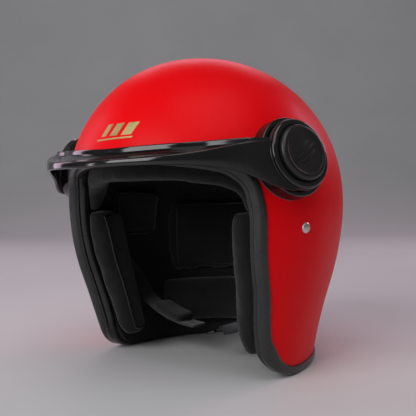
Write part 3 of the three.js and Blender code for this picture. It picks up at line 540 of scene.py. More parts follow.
def make_gold():
    mt, nt, b = material("emblem_gold", (0.55, 0.42, 0.17), 0.42, 0.55)
    n1 = noise(nt, 200, 4); nt.links.new(ramp(nt, n1.outputs["Fac"], [(0.3, (0.47, 0.36, 0.14)), (0.7, (0.62, 0.49, 0.21))]), b.inputs["Base Color"])
    n2 = noise(nt, 900, 4); nt.links.new(ramp(nt, n2.outputs["Fac"], [(0.3, grey(0.36)), (0.75, grey(0.5))]), b.inputs["Roughness"])
    bump(nt, b, n2.outputs["Fac"], 0.08, 0.0002)
    return mt


PAINT, VINYL, GLOSS, GRAIN = make_paint(), make_vinyl(), make_gloss(), make_grain()
CAPMAT = make_grain("cap_satin", 0.0055, 0.36)
PEAKM = make_peak()
DARKSTEEL = make_steel("blackened_steel", (0.055, 0.055, 0.058), 0.38)
FABRIC = make_mesh_fabric("cheek_mesh", grey(0.0075), grey(0.0155), 700, 0.5)
FABRIC2 = make_mesh_fabric("brow_mesh", grey(0.0055), grey(0.0105), 1000, 0.35)
KNIT = make_knit("liner_knit", grey(0.007), grey(0.013))
PIPE = make_grain("piping", 0.013, 0.42)
WEB, STEEL, FOAM, GOLD = make_webbing(), make_steel(), make_foam(), make_gold()
RIVETM = make_steel("rivet_plate", (0.75, 0.66, 0.66), 0.34)

# ------------------------------------------------------------ hard parts on the shell
shell = wall("shell_skin", 90, 0.0, -4.0, 0.0, 4.0, PAINT, 1)
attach(shell, "shell"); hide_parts("outer_shell")
eps = wall("foam_liner", 48, -4.6, eps_in, 4.6, EPS_RIM, FOAM)
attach(eps, "shell"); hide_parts("eps_liner")

FACE = [(0.12, -3.9), (0.9, -3.8), (1.45, -3.0), (1.65, -1.4), (1.6, 0.2), (1.15, 1.7), (0.2, 2.9), (-1.4, 3.9), (-3.6, 4.6), (-5.6, 4.75), (-6.6, 4.35), (-7.0, 4.6), (-7.3, 5.6), (-8.0, 6.2),
        (-8.8, 5.9), (-9.15, 4.9), (-9.6, 4.3), (-11.2, 4.5), (-13.2, 4.0), (-14.8, 2.8), (-15.4, 1.2), (-15.4, 0.25), (-8, 0.25), (-4.0, 0.25), (0.12, 0.25), (0.12, -1.6)]
NECK = [(0.12, -3.9), (0.9, -3.8), (1.35, -3.2), (1.6, -1.8), (1.7, -0.4), (1.7, 1.0), (1.45, 2.1), (0.95, 2.9), (0.2, 3.2), (-1.0, 3.2), (-2.0, 3.2), (-3.0, 3.2), (-4.0, 3.2),
        (-5.2, 3.2), (-6.4, 3.2), (-7.6, 3.2), (-8.8, 3.2), (-9.8, 2.95), (-10.5, 2.3), (-10.8, 1.2), (-10.8, 0.25), (-9, 0.25), (-6, 0.25), (-3.0, 0.25), (0.12, 0.25), (0.12, -1.6)]
FACE, NECK = np.array(FACE), np.array(NECK)


def trim_rows(idx):
    idx = np.asarray(idx) % N_RIM
    w = R_F[idx][:, None]
    n = FACE[None, :, 0] * (1 - w) + NECK[None, :, 0] * w
    s = FACE[None, :, 1] * (1 - w) + NECK[None, :, 1] * w
    nn = np.where(n > 0, n, n * R_C[idx][:, None])
    return RIM[idx][:, None, :] + R_NB[idx][:, None, :] * nn[..., None] + R_S[idx][:, None, :] * s[..., None]


rim64 = RIM[::SKIP]
split = next(i for i in range(64) if rim64[i, 1] > -2 and rim64[i, 2] < 8) * SKIP
face_trim = sweep("face_trim", trim_rows(range(-split, split + 1)), VINYL)
neck_trim = sweep("neck_trim", trim_rows(range(split, N_RIM - split + 1)), VINYL)
for o, node in ((face_trim, "face_opening_trim"), (neck_trim, "lower_edge_trim")):
    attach(o, "shell"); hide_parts(node)

# ------------------------------------------------------------ pods
pod_at = at_yz(-37.9, 171.1, 0.0)
axis_pt = np.array([0, -41.0, 173.5])


def on_shell_below(p, n):
    """Height along n (negative) at which a ray from p reaches the shell."""
    t = np.linspace(0, 40, 801)
    f = form(p - n * t[:, None], 0.0)
    i = np.argmax(f < 0)
    return -t[i] if f.min() < 0 else -40


def pod_base(name):
    a, u, w = frame_of(POD_N)
    seg = 144; th = np.linspace(0, 2 * math.pi, seg, endpoint=False)
    top = fillet([(BASE_R - 0.3, -3.0), (BASE_R, BASE_H - 0.2), (BASE_R - 3.4, BASE_H), (0, BASE_H)], [0, 1.3, 0.6, 0], 6)
    rows = []
    foot = []
    for t in th:
        e = u * math.cos(t) + w * math.sin(t)
        h = on_shell_below(pod_at + POD_N * 9 + e * BASE_R, POD_N) + 9
        foot.append(h)
    foot = np.array(foot)
    for r, k in ((BASE_R + 0.5, 0.05), (BASE_R + 0.25, 0.45), (BASE_R, 1.2)):
        rows.append([pod_at + POD_N * (min(f + k, BASE_H - 2)) + (u * math.cos(t) + w * math.sin(t)) * r for t, f in zip(th, foot)])
    for r, h in top[1:-1]:
        rows.append([pod_at + POD_N * h + (u * math.cos(t) + w * math.sin(t)) * r for t in th])
    verts = np.concatenate([np.array(r) for r in rows])
    faces = grid(seg, len(rows), 0, True)
    verts = np.vstack([verts, (pod_at + POD_N * BASE_H)[None], (pod_at - POD_N * 2.5)[None]])
    c0, c1 = len(verts) - 2, len(verts) - 1
    last = (len(rows) - 1) * seg
    for i in range(seg):
        j = (i + 1) % seg
        faces.append((last + i, last + j, c0)); faces.append((j, i, c1))
    return new_mesh(name, verts, faces, GLOSS, 35)


base_l = pod_base("pod_base_left"); base_r = mirrored(base_l, "pod_base_right")
collar_prof = fillet([(0, EAR_H1 + 0.2), (COLLAR_R, EAR_H1 + 0.2), (COLLAR_R, COLLAR_H - 1.0), (COLLAR_R - 1.7, COLLAR_H), (CAP_R + 1.0, COLLAR_H), (CAP_R + 0.7, COLLAR_H - 1.2), (0, COLLAR_H - 1.2)],
                     [0, 0.5, 0.7, 0.7, 0.4, 0.2, 0], 6)
collar_l = lathe("pod_collar_left", collar_prof, pod_at, POD_N, GLOSS, 144); collar_r = mirrored(collar_l, "pod_collar_right")
cap_prof = fillet([(0, COLLAR_H - 0.9), (CAP_R, COLLAR_H - 0.9), (CAP_R, CAP_H - 1.9), (CAP_R - 1.9, CAP_H - 0.15), (CAP_R - 4.2, CAP_H - 0.15), (CAP_R - 4.6, CAP_H - 0.45), (8, CAP_H - 0.35), (0, CAP_H - 0.3)],
                  [0, 0.4, 0.9, 0.9, 0.3, 0.3, 0, 0], 6)
cap_core = lathe("pod_cap_left", cap_prof, pod_at, POD_N, CAPMAT, 144)


def cap_ribs(name):
    a, u, w = frame_of(POD_N)
    up = unit(np.array([0, 0, 1.0]) - POD_N * POD_N[2]); side = np.cross(up, POD_N)
    d1 = unit(side + up * 0.75); d2 = np.cross(POD_N, d1)
    obs = []
    for k, (off, ln) in enumerate(((-4.4, 16), (0, 21), (4.4, 16))):
        obs.append(box_on(name + str(k), pod_at + POD_N * (CAP_H - 0.32) + d2 * off, d1, d2, POD_N, (ln, 2.0, 0.5), CAPMAT, 0.22, 3))
    return obs


cap_l = joined("pod_cap_left", cap_core, *cap_ribs("rib_")); cap_r = mirrored(cap_l, "pod_cap_right")
for o, body, node, sl in ((base_l, "shell", "pivot_base_left", 0), (base_r, "shell", "pivot_base_right", 0), (collar_l, "peak", "pivot_collar_left", 0), (collar_r, "peak", "pivot_collar_right", 0),
                          (cap_l, "cap_left", "pivot_cap_left", 0), (cap_r, "cap_right", "pivot_cap_right", 0)):
    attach(o, body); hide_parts(node)

# ------------------------------------------------------------ peak
T_LOW = [(0, 164.6), (12, 165.2), (24, 165.6), (34, 165.3), (42, 164), (48, 161.2), (53, 156.8), (57, 151.6), (61, 147.8), (66, 146.8)]
T_BAND = [(0, 5), (14, 5.2), (24, 6.2), (32, 8.2), (40, 12), (46, 17), (51, 23), (55, 28.5), (59, 34), (66, 38.5)]
T_TOP = [(0, 179.5), (12, 180.4), (24, 181.6), (36, 182.8), (48, 184.2), (56, 185.2), (66, 186.2)]


def soft_table(tab, width=2.2):
    x = np.linspace(-70, 70, 561); y = np.interp(np.abs(x), *zip(*tab))
    k = np.exp(-0.5 * (np.arange(-40, 41) * 0.25 / width) ** 2); k /= k.sum()
    ys = np.convolve(np.pad(y, 40, mode="edge"), k, mode="valid")
    return lambda a: np.interp(np.abs(a), x[280:], ys[280:])


z_low, band_h, z_top = soft_table(T_LOW), soft_table(T_BAND), soft_table(T_TOP)
ear_c = pod_at + POD_N * (EAR_H1 - 0.15)


def peak_point(deg, z, inset):
    a = abs(deg); ph = math.radians(a)
    r = 1 / math.hypot(math.sin(ph) / PEAK_A, math.cos(ph) / PEAK_B) - inset
    p = np.array([r * math.sin(ph), -r * math.cos(ph), z])
    w = float(smooth(49, 64, a))
    px = ear_c[0] - (POD_N[1] * (p[1] - ear_c[1]) + POD_N[2] * (z - ear_c[2])) / POD_N[0] - inset / POD_N[0]
    p[0] = p[0] * (1 - w) + px * w
    if deg < 0: p[0] = -p[0]
    return p


PT = 2.6


def peak_section(deg):
    a = abs(deg); zl, zb, zt = float(z_low(a)), float(z_low(a) + band_h(a)), float(z_top(a))
    s = at_plan(math.radians(a), zt - 3, 0.0); shell_r = math.hypot(s[0], s[1])
    arm = float(smooth(36, 54, a))
    plan_r = 1 / math.hypot(math.sin(math.radians(a)) / PEAK_A, math.cos(math.radians(a)) / PEAK_B)
    inset = (plan_r - shell_r - 4.4) * (1 - arm) + (PT + 1.1) * arm
    zf = min(zb, zt - 1.5)
    dish = 1.1 * (1 - arm)
    key = [(zl - 0.0, 0.9), (zl + 0.25, 0.25), (zl + 1.0, 0.0), (zl + (zf - zl) * 0.5, -0.15 * (1 - arm)), (zf - 1.0, 0.0), (zf - 0.2, 0.35), (zf + 0.15, 1.1)]
    ti, tz = inset - 1.9, max(zf + 0.3, zt - 3.6)
    for f in (0.15, 0.3, 0.45, 0.6, 0.75, 0.88):
        key.append((zf + (tz - zf) * f - dish * math.sin(math.pi * f) ** 1.0, 1.1 + (ti - 1.1) * f))
    key += [(tz, ti), (tz + (zt - tz) * 0.5, ti + 0.35), (zt - 0.35, ti + 0.45), (zt, ti + 0.8), (zt, inset - 0.4), (zt - 0.35, inset - 0.05), (zt - 1.4, inset)]
    bi, bz = inset + 0.15, max(zf - 1, zt - 5.4)
    key.append((bz, bi))
    for f in (0.25, 0.5, 0.75):
        key.append((bz + (zf - 2.4 - bz) * f - dish * math.sin(math.pi * f), bi + (PT + 1.2 - bi) * f))
    key += [(zf - 2.4, PT + 1.2), (zf - 3.4 if zf - 3.4 > zl + 1.2 else zl + 1.6, PT + 0.1), (zl + 1.0, PT), (zl + 0.25, PT - 0.25), (zl, PT - 0.9)]
    return np.array([peak_point(deg, z, i) for z, i in key])


peak_body = sweep("peak_blade", [peak_section(d) for d in np.arange(-66, 66.01, 1.0)], PEAKM, deg=42)
ear_prof = fillet([(0, EAR_H0), (EAR_R, EAR_H0), (EAR_R, EAR_H1), (0, EAR_H1)], [0, 0.7, 0.7, 0], 6)
ear_l = lathe("peak_ear_left", ear_prof, pod_at, POD_N, PEAKM, 144); ear_r = mirrored(ear_l, "peak_ear_right")
for o in (peak_body, ear_l, ear_r):
    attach(o, "peak")
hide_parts("peak")

# ------------------------------------------------------------ rivets
rivet_at = at_yz(-25.2, 119.5, 0.0); rivet_n = normal_at(rivet_at)
rv_prof = fillet([(0, -11), (4.6, -11), (4.6, -9.8), (2.5, -9.8), (2.5, 0.05), (4.25, 0.05), (4.2, 0.8), (3.4, 1.5), (2.0, 1.95), (0, 2.1)], [0, 0.2, 0.2, 0, 0, 0.1, 0.5, 0.6, 0.6, 0], 4)
riv_l = lathe("rivet_left", rv_prof, rivet_at, rivet_n, RIVETM, 48, 30); riv_r = mirrored(riv_l, "rivet_right")
for o, node in ((riv_l, "strap_rivet_left"), (riv_r, "strap_rivet_right")):
    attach(o, "shell"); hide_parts(node)

# ------------------------------------------------------------ padding
def crown(u, v):
    return 1 - 0.45 * (np.abs(2 * u - 1) ** 6 + np.abs(2 * v - 1) ** 6) / 2


def pillow(name, f_out, f_in, nu, nv, mat, T, rnd=5.0, extra=None, edge=0.30):
    """Closed pad between patch f_out(u, v) and f_in(u, v, depth); the inner face is crowned and its border rounded over rnd mm."""
    u, v = np.meshgrid(np.linspace(0, 1, nu), np.linspace(0, 1, nv))
    A = f_out(u, v)
    B0 = f_in(u, v, np.full(u.shape, T))
    # distance to the border, in mm, along each parameter line
    du = np.linalg.norm(np.diff(B0, axis=1), axis=-1); cu = np.concatenate([np.zeros((nv, 1)), np.cumsum(du, 1)], 1)
    dv = np.linalg.norm(np.diff(B0, axis=0), axis=-1); cv = np.concatenate([np.zeros((1, nu)), np.cumsum(dv, 0)], 0)
    eu = np.minimum(cu, cu[:, -1:] - cu); ev = np.minimum(cv, cv[-1:, :] - cv)
    q = lambda e: np.sqrt(np.clip(1 - (1 - np.clip(e / rnd, 0, 1)) ** 2, 0, 1))
    prof = edge + (1 - edge) * q(eu) * q(ev)
    big = 1 - 0.16 * (np.abs(2 * u - 1) ** 2.5 + np.abs(2 * v - 1) ** 2.5) / 2
    d = T * prof * big
    if extra is not None:
        d = d + extra(u, v, eu, ev)
    B = f_in(u, v, d)
    verts = np.concatenate([A.reshape(-1, 3), B.reshape(-1, 3)])
    K = nu * nv
    faces = grid(nu, nv, 0) + grid(nu, nv, K, flip=True)
    o = lambda i, j: j * nu + i
    for i in range(nu - 1):
        faces.append((o(i, 0), K + o(i, 0), K + o(i + 1, 0), o(i + 1, 0)))
        faces.append((o(i, nv - 1), o(i + 1, nv - 1), K + o(i + 1, nv - 1), K + o(i, nv - 1)))
    for j in range(nv - 1):
        faces.append((o(0, j), o(0, j + 1), K + o(0, j + 1), K + o(0, j)))
        faces.append((o(nu - 1, j), K + o(nu - 1, j), K + o(nu - 1, j + 1), o(nu - 1, j + 1)))
    return new_mesh(name, verts, faces, mat, 60)


def wob(p, seed, amp):
    """Smooth wander of the padding's surface."""
    rs = np.random.RandomState(seed); out = np.zeros(p.shape[:-1])
    for _ in range(5):
        k = rs.normal(size=3) * 0.045; ph = rs.rand() * 6.28
        out += np.sin(p @ k + ph)
    return amp * out / 5


def stuffed(o, voxel=4.5, cap=3.2, pressure=4.0, creases=None):
    """Fills a pad by cloth simulation: remeshed, swollen under pressure, its movement capped, then one subdivision and its sewn creases."""
    me = o.data
    rm = o.modifiers.new("remesh", "REMESH"); rm.mode = "VOXEL"; rm.voxel_size = voxel / 1000; rm.adaptivity = 0.0
    dg = bpy.context.evaluated_depsgraph_get()
    base = bpy.data.meshes.new_from_object(o.evaluated_get(dg)); o.modifiers.remove(rm)
    base.materials.clear(); base.materials.append(me.materials[0])
    t = bpy.data.objects.new(o.name + "_sim", base); scene.collection.objects.link(t)
    n = len(base.vertices); co = np.empty(n * 3); base.vertices.foreach_get("co", co); co = co.reshape(-1, 3)
    cl = t.modifiers.new("cloth", "CLOTH"); st = cl.settings
    st.use_pressure = True; st.uniform_pressure_force = pressure; st.quality = 5; st.mass = 0.25
    st.tension_stiffness = st.compression_stiffness = 14; st.shear_stiffness = 6; st.bending_stiffness = 0.4
    st.effector_weights.gravity = 0
    cl.collision_settings.use_collision = False; cl.collision_settings.use_self_collision = False
    cl.point_cache.frame_start = 1; cl.point_cache.frame_end = 20
    for f in range(1, 21):
        scene.frame_set(f)
    dg = bpy.context.evaluated_depsgraph_get()
    got = bpy.data.meshes.new_from_object(t.evaluated_get(dg))
    q = np.empty(n * 3); got.vertices.foreach_get("co", q); q = q.reshape(-1, 3)
    d = q - co; d -= d.mean(0); L = np.linalg.norm(d, axis=1, keepdims=True); lim = cap / 1000
    d *= np.tanh(L / lim) * lim / np.maximum(L, 1e-9)
    t.modifiers.remove(cl); bpy.data.meshes.remove(got)
    E = np.empty(len(base.edges) * 2, int); base.edges.foreach_get("vertices", E); E = E.reshape(-1, 2)
    deg = np.bincount(E.ravel(), minlength=n)[:, None]
    def relax(P_, times):
        for _ in range(times):
            acc = np.zeros_like(P_); np.add.at(acc, E[:, 0], P_[E[:, 1]]); np.add.at(acc, E[:, 1], P_[E[:, 0]])
            P_ = P_ * 0.45 + 0.55 * acc / np.maximum(deg, 1)
        return P_

    P_ = relax(co + d, 5)
    G = P_ * 1000 - np.array([0, Y_SHIFT, 0])
    for _ in range(4):
        off = eps_in(G) - 0.7; f = form(G, off)
        g = np.stack([(form(G + e_, off) - form(G - e_, off)) / 0.2 for e_ in np.eye(3) * 0.1], -1)
        G = G - g * (np.maximum(f, 0) / np.maximum((g * g).sum(-1), 1e-12))[:, None]
    P_ = relax((G + np.array([0, Y_SHIFT, 0])) / 1000, 2)
    base.vertices.foreach_set("co", P_.ravel()); base.update()
    sb = t.modifiers.new("sub", "SUBSURF"); sb.levels = 1; sb.render_levels = 1
    dg = bpy.context.evaluated_depsgraph_get()
    fin = bpy.data.meshes.new_from_object(t.evaluated_get(dg))
    t.modifiers.remove(sb)
    if creases is not None:
        k = len(fin.vertices); c_ = np.empty(k * 3); fin.vertices.foreach_get("co", c_); c_ = c_.reshape(-1, 3)
        nn = np.empty(k * 3); fin.vertices.foreach_get("normal", nn); nn = nn.reshape(-1, 3)
        mm = c_ * 1000 - np.array([0, Y_SHIFT, 0])
        c_ = c_ + nn * (creases(mm, nn) / 1000)[:, None]
        fin.vertices.foreach_set("co", c_.ravel()); fin.update()
    fin.shade_smooth()
    nm = me.name; o.data = fin; bpy.data.meshes.remove(me); fin.name = nm
    bpy.data.objects.remove(t)
    scene.frame_set(1)
    return o


def piping(name, pad, pts, r=1.05, closed=False):
    """A round welt sewn along a path on a pad's surface."""
    bm = bmesh.new(); bm.from_mesh(pad.data); tree = BVHTree.FromBMesh(bm); bm.free()
    P_ = resample(np.asarray(pts, float), max(24, int(len(pts) * 2)), closed); N_ = []
    for i, q_ in enumerate(P_):
        loc_, nor, _i, _d = tree.find_nearest(Vector(m(q_)))
        P_[i] = np.array(loc_) * 1000 - np.array([0, Y_SHIFT, 0]); N_.append(np.array(nor))
    N_ = np.array(N_)
    for _ in range(6):
        if closed:
            P_ = 0.5 * P_ + 0.25 * (np.roll(P_, 1, 0) + np.roll(P_, -1, 0)); N_ = 0.5 * N_ + 0.25 * (np.roll(N_, 1, 0) + np.roll(N_, -1, 0))
        else:
            P_[1:-1] = 0.5 * P_[1:-1] + 0.25 * (P_[:-2] + P_[2:]); N_[1:-1] = 0.5 * N_[1:-1] + 0.25 * (N_[:-2] + N_[2:])
    T_ = unit(np.roll(P_, -1, 0) - np.roll(P_, 1, 0)) if closed else unit(np.gradient(P_, axis=0))
    N_ = unit(N_ - T_ * (N_ * T_).sum(-1, keepdims=True)); B_ = np.cross(T_, N_)
    a_ = np.linspace(0, 2 * math.pi, 12, endpoint=False)
    secs_ = P_[:, None, :] + r * (N_[:, None, :] * (np.cos(a_) + 0.35)[None, :, None] + B_[:, None, :] * np.sin(a_)[None, :, None])
    o = sweep(name, secs_, PIPE, closed, 80)
    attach(o, "shell")
    return o


nb = next(i for i in range(64) if rim64[i, 2] <= 128) * SKIP


def brow_dir(u, v, s0, s1):
    idx = (-nb + 2 * nb * u)
    i0 = np.floor(idx).astype(int); t = (idx - i0)[..., None]
    p = RIM[i0 % N_RIM] * (1 - t) + RIM[(i0 + 1) % N_RIM] * t
    d = unit(p - CENTRE)
    ang = (s0 + (s1 - s0) * v) / 118
    w = np.arccos(d @ POLE)
    return slerp(d, np.broadcast_to(POLE, d.shape), ang / w)


PG = 1.0


def radial_in(D, d):
    """Point d deep inside the liner's inner face, along direction D from the centre."""
    base = CENTRE + unit(D) * march(CENTRE, unit(D), lambda p: eps_in(p) - PG)[..., None]
    n = normal_at(base, -EPS_RIM)
    return base - n * d[..., None]


def yz_in(y, z, d, back=None):
    off = (lambda p: eps_in(p) - PG) if back is None else back
    base = at_yz(y, z, off)
    n = normal_at(base, -EPS_RIM)
    return base - n * d[..., None]


def plan_in(phi, z, d):
    base = at_plan(phi, z, lambda p: eps_in(p) - PG)
    n = normal_at(base, -EPS_RIM)
    return base - n * d[..., None]




def brow_hang(u):
    idx = (-nb + 2 * nb * u); i0 = np.round(idx).astype(int)
    return -5.0 - 12.0 * smooth(148, 171, RIM[i0 % N_RIM][..., 2])


def brow_at(u, v, s0):
    """Like brow_dir, with the near edge s0 given per point."""
    idx = (-nb + 2 * nb * u); i0 = np.floor(idx).astype(int); t = (idx - i0)[..., None]
    p = RIM[i0 % N_RIM] * (1 - t) + RIM[(i0 + 1) % N_RIM] * t
    d = unit(p - CENTRE)
    return slerp(d, np.broadcast_to(POLE, d.shape), (s0 + (37 - s0) * v) / 118 / np.arccos(d @ POLE))


brow = pillow("brow_band", lambda u, v: radial_in(brow_at(u, v, brow_hang(u) + 0.8), np.zeros(u.shape)),
              lambda u, v, d: radial_in(brow_at(u, v, brow_hang(u)), d), 300, 48, FABRIC2, 18.0, 8.0,
              lambda u, v, eu, ev: -0.8 * np.exp(-((ev - 15) / 0.9) ** 2) * smooth(0, 6, eu) * (v < 0.5), edge=0.62)

stuffed(brow, 4.5, 2.6, creases=lambda q_, n_: -0.5 * np.exp(-(((q_[:, 2] - 176 + 0.0009 * q_[:, 0] ** 2) / 1.2) ** 2)) * (q_[:, 1] < -70))
side_yz = lambda u, v: (-13 + 57 * u, 103 + 51 * v)
side_l = pillow("side_cushion_left", lambda u, v: yz_in(*side_yz(u, v), np.zeros(u.shape)), lambda u, v, d: yz_in(*side_yz(u, v), d), 60, 54, KNIT, 13.0, 8.0,
                lambda u, v, eu, ev: -1.6 * np.exp(-((v - 0.5) * 50 / 1.4) ** 2) * smooth(0, 8, eu))
stuffed(side_l, 5, 2.5)
side_r = mirrored(side_l, "side_cushion_right")

rear_pz = lambda u, v: (np.radians(122.5 + 115 * u), 64 + 78 * v)
RW = 230.0
rear = pillow("rear_cushion", lambda u, v: plan_in(*rear_pz(u, v), np.zeros(u.shape)), lambda u, v, d: plan_in(*rear_pz(u, v), d), 200, 80, KNIT, 15.0, 8.0,
              lambda u, v, eu, ev: -1.8 * np.exp(-((eu - 13) / 1.1) ** 2) * smooth(0, 9, ev) - 1.8 * np.exp(-((ev - 9) / 1.0) ** 2) * (v > 0.5) * smooth(0, 9, eu))
stuffed(rear, 5, 2.8, creases=lambda q_, n_: -1.5 * np.exp(-((np.abs(np.degrees(np.arctan2(q_[:, 0], q_[:, 1]))) - 19) / 0.9) ** 2) * smooth(68, 78, q_[:, 2]) * smooth(140, 130, q_[:, 2]) * (n_[:, 1] < 0))
neck_pz = lambda u, v: (np.radians(114 + 132 * u), 14 + 46 * v)
neck = pillow("neck_cushion", lambda u, v: plan_in(*neck_pz(u, v), np.zeros(u.shape)), lambda u, v, d: plan_in(*neck_pz(u, v), d), 150, 44, KNIT, 19.0, 15.0)

stuffed(neck, 5.5, 2.8)


def crown_dir(u, v):
    x, y = 2 * u - 1, 2 * v - 1
    r = np.maximum(np.abs(x), np.abs(y)); l = np.maximum(np.hypot(x, y), 1e-6)
    a = r * 0.62
    tilt = unit(np.array([0, 0.10, 1.0])); side = np.array([1.0, 0, 0]); fwd = np.cross(tilt, side)
    return unit(tilt * np.cos(a)[..., None] + side * (np.sin(a) * x / l)[..., None] + fwd * (np.sin(a) * y / l)[..., None])


crownp = pillow("crown_cushion", lambda u, v: radial_in(crown_dir(u, v), np.zeros(u.shape)), lambda u, v, d: radial_in(crown_dir(u, v), d), 90, 90, KNIT, 13.0, 10.0,
                lambda u, v, eu, ev: -2.0 * np.exp(-((u - 0.5) * 120 / 1.8) ** 2) - 2.0 * np.exp(-((v - 0.5) * 120 / 1.8) ** 2))

stuffed(crownp, 6, 3)


def edge_y(z):
    front = RIM[(RIM[:, 0] > 0) & (RIM[:, 1] < 0) & (RIM[:, 2] < 160)]
    o = np.argsort(front[:, 2])
    return np.interp(z, front[o, 2], front[o, 1])


cheek_z = lambda v: 13.0 + 119.5 * v
cheek_rear = lambda z: np.interp(z, [14, 40, 60, 75, 121], [-4, -13, -14.5, -13, -16]) + 1.0
cheek_yz = lambda u, v: ((edge_y(cheek_z(v)) - 3.0) * (1 - u) + cheek_rear(cheek_z(v)) * u, cheek_z(v))
cheek_back = lambda p: -EPS_RIM - 1.0 + 0 * p[..., 0]
CHEEK_T = 24.0


def cheek_in(u, v, d):
    y, z = cheek_yz(u, v)
    return yz_in(y, z, d, -EPS_RIM - 1.0)



def cheek_depth(u, v, d):
    return d * (0.66 + 0.34 * smooth(0, 0.55, u)) * (0.86 + 0.14 * smooth(0, 0.3, v)) * (1 - 0.10 * smooth(0.8, 1.0, v))


cheek_l = pillow("cheek_cushion_left", lambda u, v: cheek_in(u, v, 3.0 * smooth(0.0, 0.25, u)), lambda u, v, d: cheek_in(u, v, cheek_depth(u, v, d)), 84, 120, FABRIC, CHEEK_T, 7.0,
                 lambda u, v, eu, ev: -0.9 * np.exp(-((eu - 7.5) / 0.8) ** 2) * (u < 0.5) * smooth(0, 7, ev), edge=0.62)
stuffed(cheek_l, 4.0, 2.6, creases=lambda q_, n_: -0.7 * np.exp(-((q_[:, 2] - 96) / 1.1) ** 2) * (n_[:, 0] < -0.3) - 0.7 * np.exp(-((q_[:, 2] - 52) / 1.1) ** 2) * (n_[:, 0] < -0.3))
cheek_r = mirrored(cheek_l, "cheek_cushion_right")
lap = np.linspace(0, 1, 60)
loop_u = np.concatenate([lap * 0 + 0.035, 0.035 + 0.93 * lap, lap * 0 + 0.965, 0.965 - 0.93 * lap]); loop_v = np.concatenate([0.05 + 0.90 * lap, lap * 0 + 0.95, 0.95 - 0.90 * lap, lap * 0 + 0.05])
rear_pipe = piping("rear_piping", rear, plan_in(*rear_pz(loop_u, loop_v), 12.0 + 0 * loop_u), 1.0, True)
side_pipe_l = piping("side_piping_left", side_l, yz_in(*side_yz(0.06 + 0.88 * (loop_u - 0.035) / 0.93, loop_v), 10.5 + 0 * loop_u), 0.9, True)
cheek_pipe_l = piping("cheek_piping_left", cheek_l, cheek_in(0.10 + 0.80 * (loop_u - 0.035) / 0.93, 0.04 + 0.92 * (loop_v - 0.05) / 0.9, 19.0 + 0 * loop_u), 0.9, True)
for o_, nm_ in ((side_pipe_l, "side_piping_right"), (cheek_pipe_l, "cheek_piping_right")):
    c_ = mirrored(o_, nm_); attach(c_, "shell")
for o, nodes in ((brow, ["brow_pad"]), (side_l, ["side_pad_left"]), (side_r, ["side_pad_right"]), (rear, ["rear_head_pad"]), (neck, ["neck_roll"]), (crownp, ["crown_pad"]),
                 (cheek_l, ["cheek_pad_left"]), (cheek_r, ["cheek_pad_right"])):
    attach(o, "shell"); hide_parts(*nodes)

# ------------------------------------------------------------ chin strap
rivet_v = unit(np.array([0, 0, 1.0]) - rivet_n * rivet_n[2]); rivet_u = unit(np.cross(rivet_v, rivet_n))
gap_x = lambda y, z: at_yz(y, z, -EPS_RIM - 2.2)
upper = [rivet_at - rivet_n * 12.6 + rivet_v, rivet_at - rivet_n * 12.8 - rivet_v * 9, rivet_at - rivet_n * 14.6 - rivet_v * 18 + rivet_u * 2, gap_x(-17.5, 95.8), gap_x(-11.5, 90), gap_x(-5.5, 83.8), gap_x(0.5, 77.6)]
sx = gap_x(SWING_Y, SWING_Z)[0]
low_l = [np.array(p, float) for p in [(sx - 3.4, SWING_Y + 5, SWING_Z - 8), (sx - 10, SWING_Y + 5, SWING_Z - 16), (sx - 20, SWING_Y + 3.5, SWING_Z - 24.5), (58.5, 5.6, 42.6)]]
flip = np.array([-1, 1, 1])
low_r = [p * flip for p in low_l[:3]] + [np.array(p, float) for p in [(-56, 5.3, 41), (-38, 4.8, 33), (-20, 4.6, 28.6), (-6.5, 4.6, 27)]]


def strap(name, pts, sides, hw, mat=None, t=1.8, n=160):
    P = catmull(pts, False, 24); S = catmull(sides, False, 24)
    L = np.concatenate([[0], np.cumsum(np.linalg.norm(np.diff(P, axis=0), axis=1))])
    s = np.linspace(0, L[-1], n)
    P = np.stack([np.interp(s, L, P[:, k]) for k in range(3)], -1); S = np.stack([np.interp(s, L, S[:, k]) for k in range(3)], -1)
    T = unit(np.gradient(P, axis=0)); W = unit(S - T * (S * T).sum(-1, keepdims=True)); N = np.cross(T, W)
    ring = []
    for a in np.linspace(-1, 1, 13):
        ring.append((a * (hw - 0.4), t / 2 * (1 - 0.10 * abs(a) ** 6)))
    ring += [(hw, 0.0)]
    for a in np.linspace(1, -1, 13):
        ring.append((a * (hw - 0.4), -t / 2 * (1 - 0.10 * abs(a) ** 6)))
    ring += [(-hw, 0.0)]
    ring = np.array(ring)
    secs = P[:, None, :] + W[:, None, :] * ring[None, :, 0:1] + N[:, None, :] * ring[None, :, 1:2]
    return sweep(name, secs, mat or WEB, deg=50)


u7 = [rivet_u] * 2 + [unit(rivet_u * (1 - k) + np.array([0, 0.71, 0.71]) * k) for k in (0.15, 0.5, 0.85, 1, 1)]
strap_l = strap("strap_left", upper + low_l, u7 + [np.array([0, 0.82, 0.55]), np.array([0, 0.95, 0.25]), np.array([0, 1.0, 0]), np.array([0, 1.0, 0])], 10)
fx = lambda L_: [np.asarray(p) * flip for p in L_]
strap_r = strap("strap_right", fx(upper) + low_r, fx(u7) + [np.array([0, 0.82, 0.55]), np.array([0, 0.95, 0.25])] + [np.array([0, 1.0, 0])] * 5, 10, n=220)
for o, nodes in ((strap_l, ["strap_web_upper_left", "strap_web_left"]), (strap_r, ["strap_web_upper_right", "strap_web_right"])):
    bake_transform(o)
    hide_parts(*nodes)

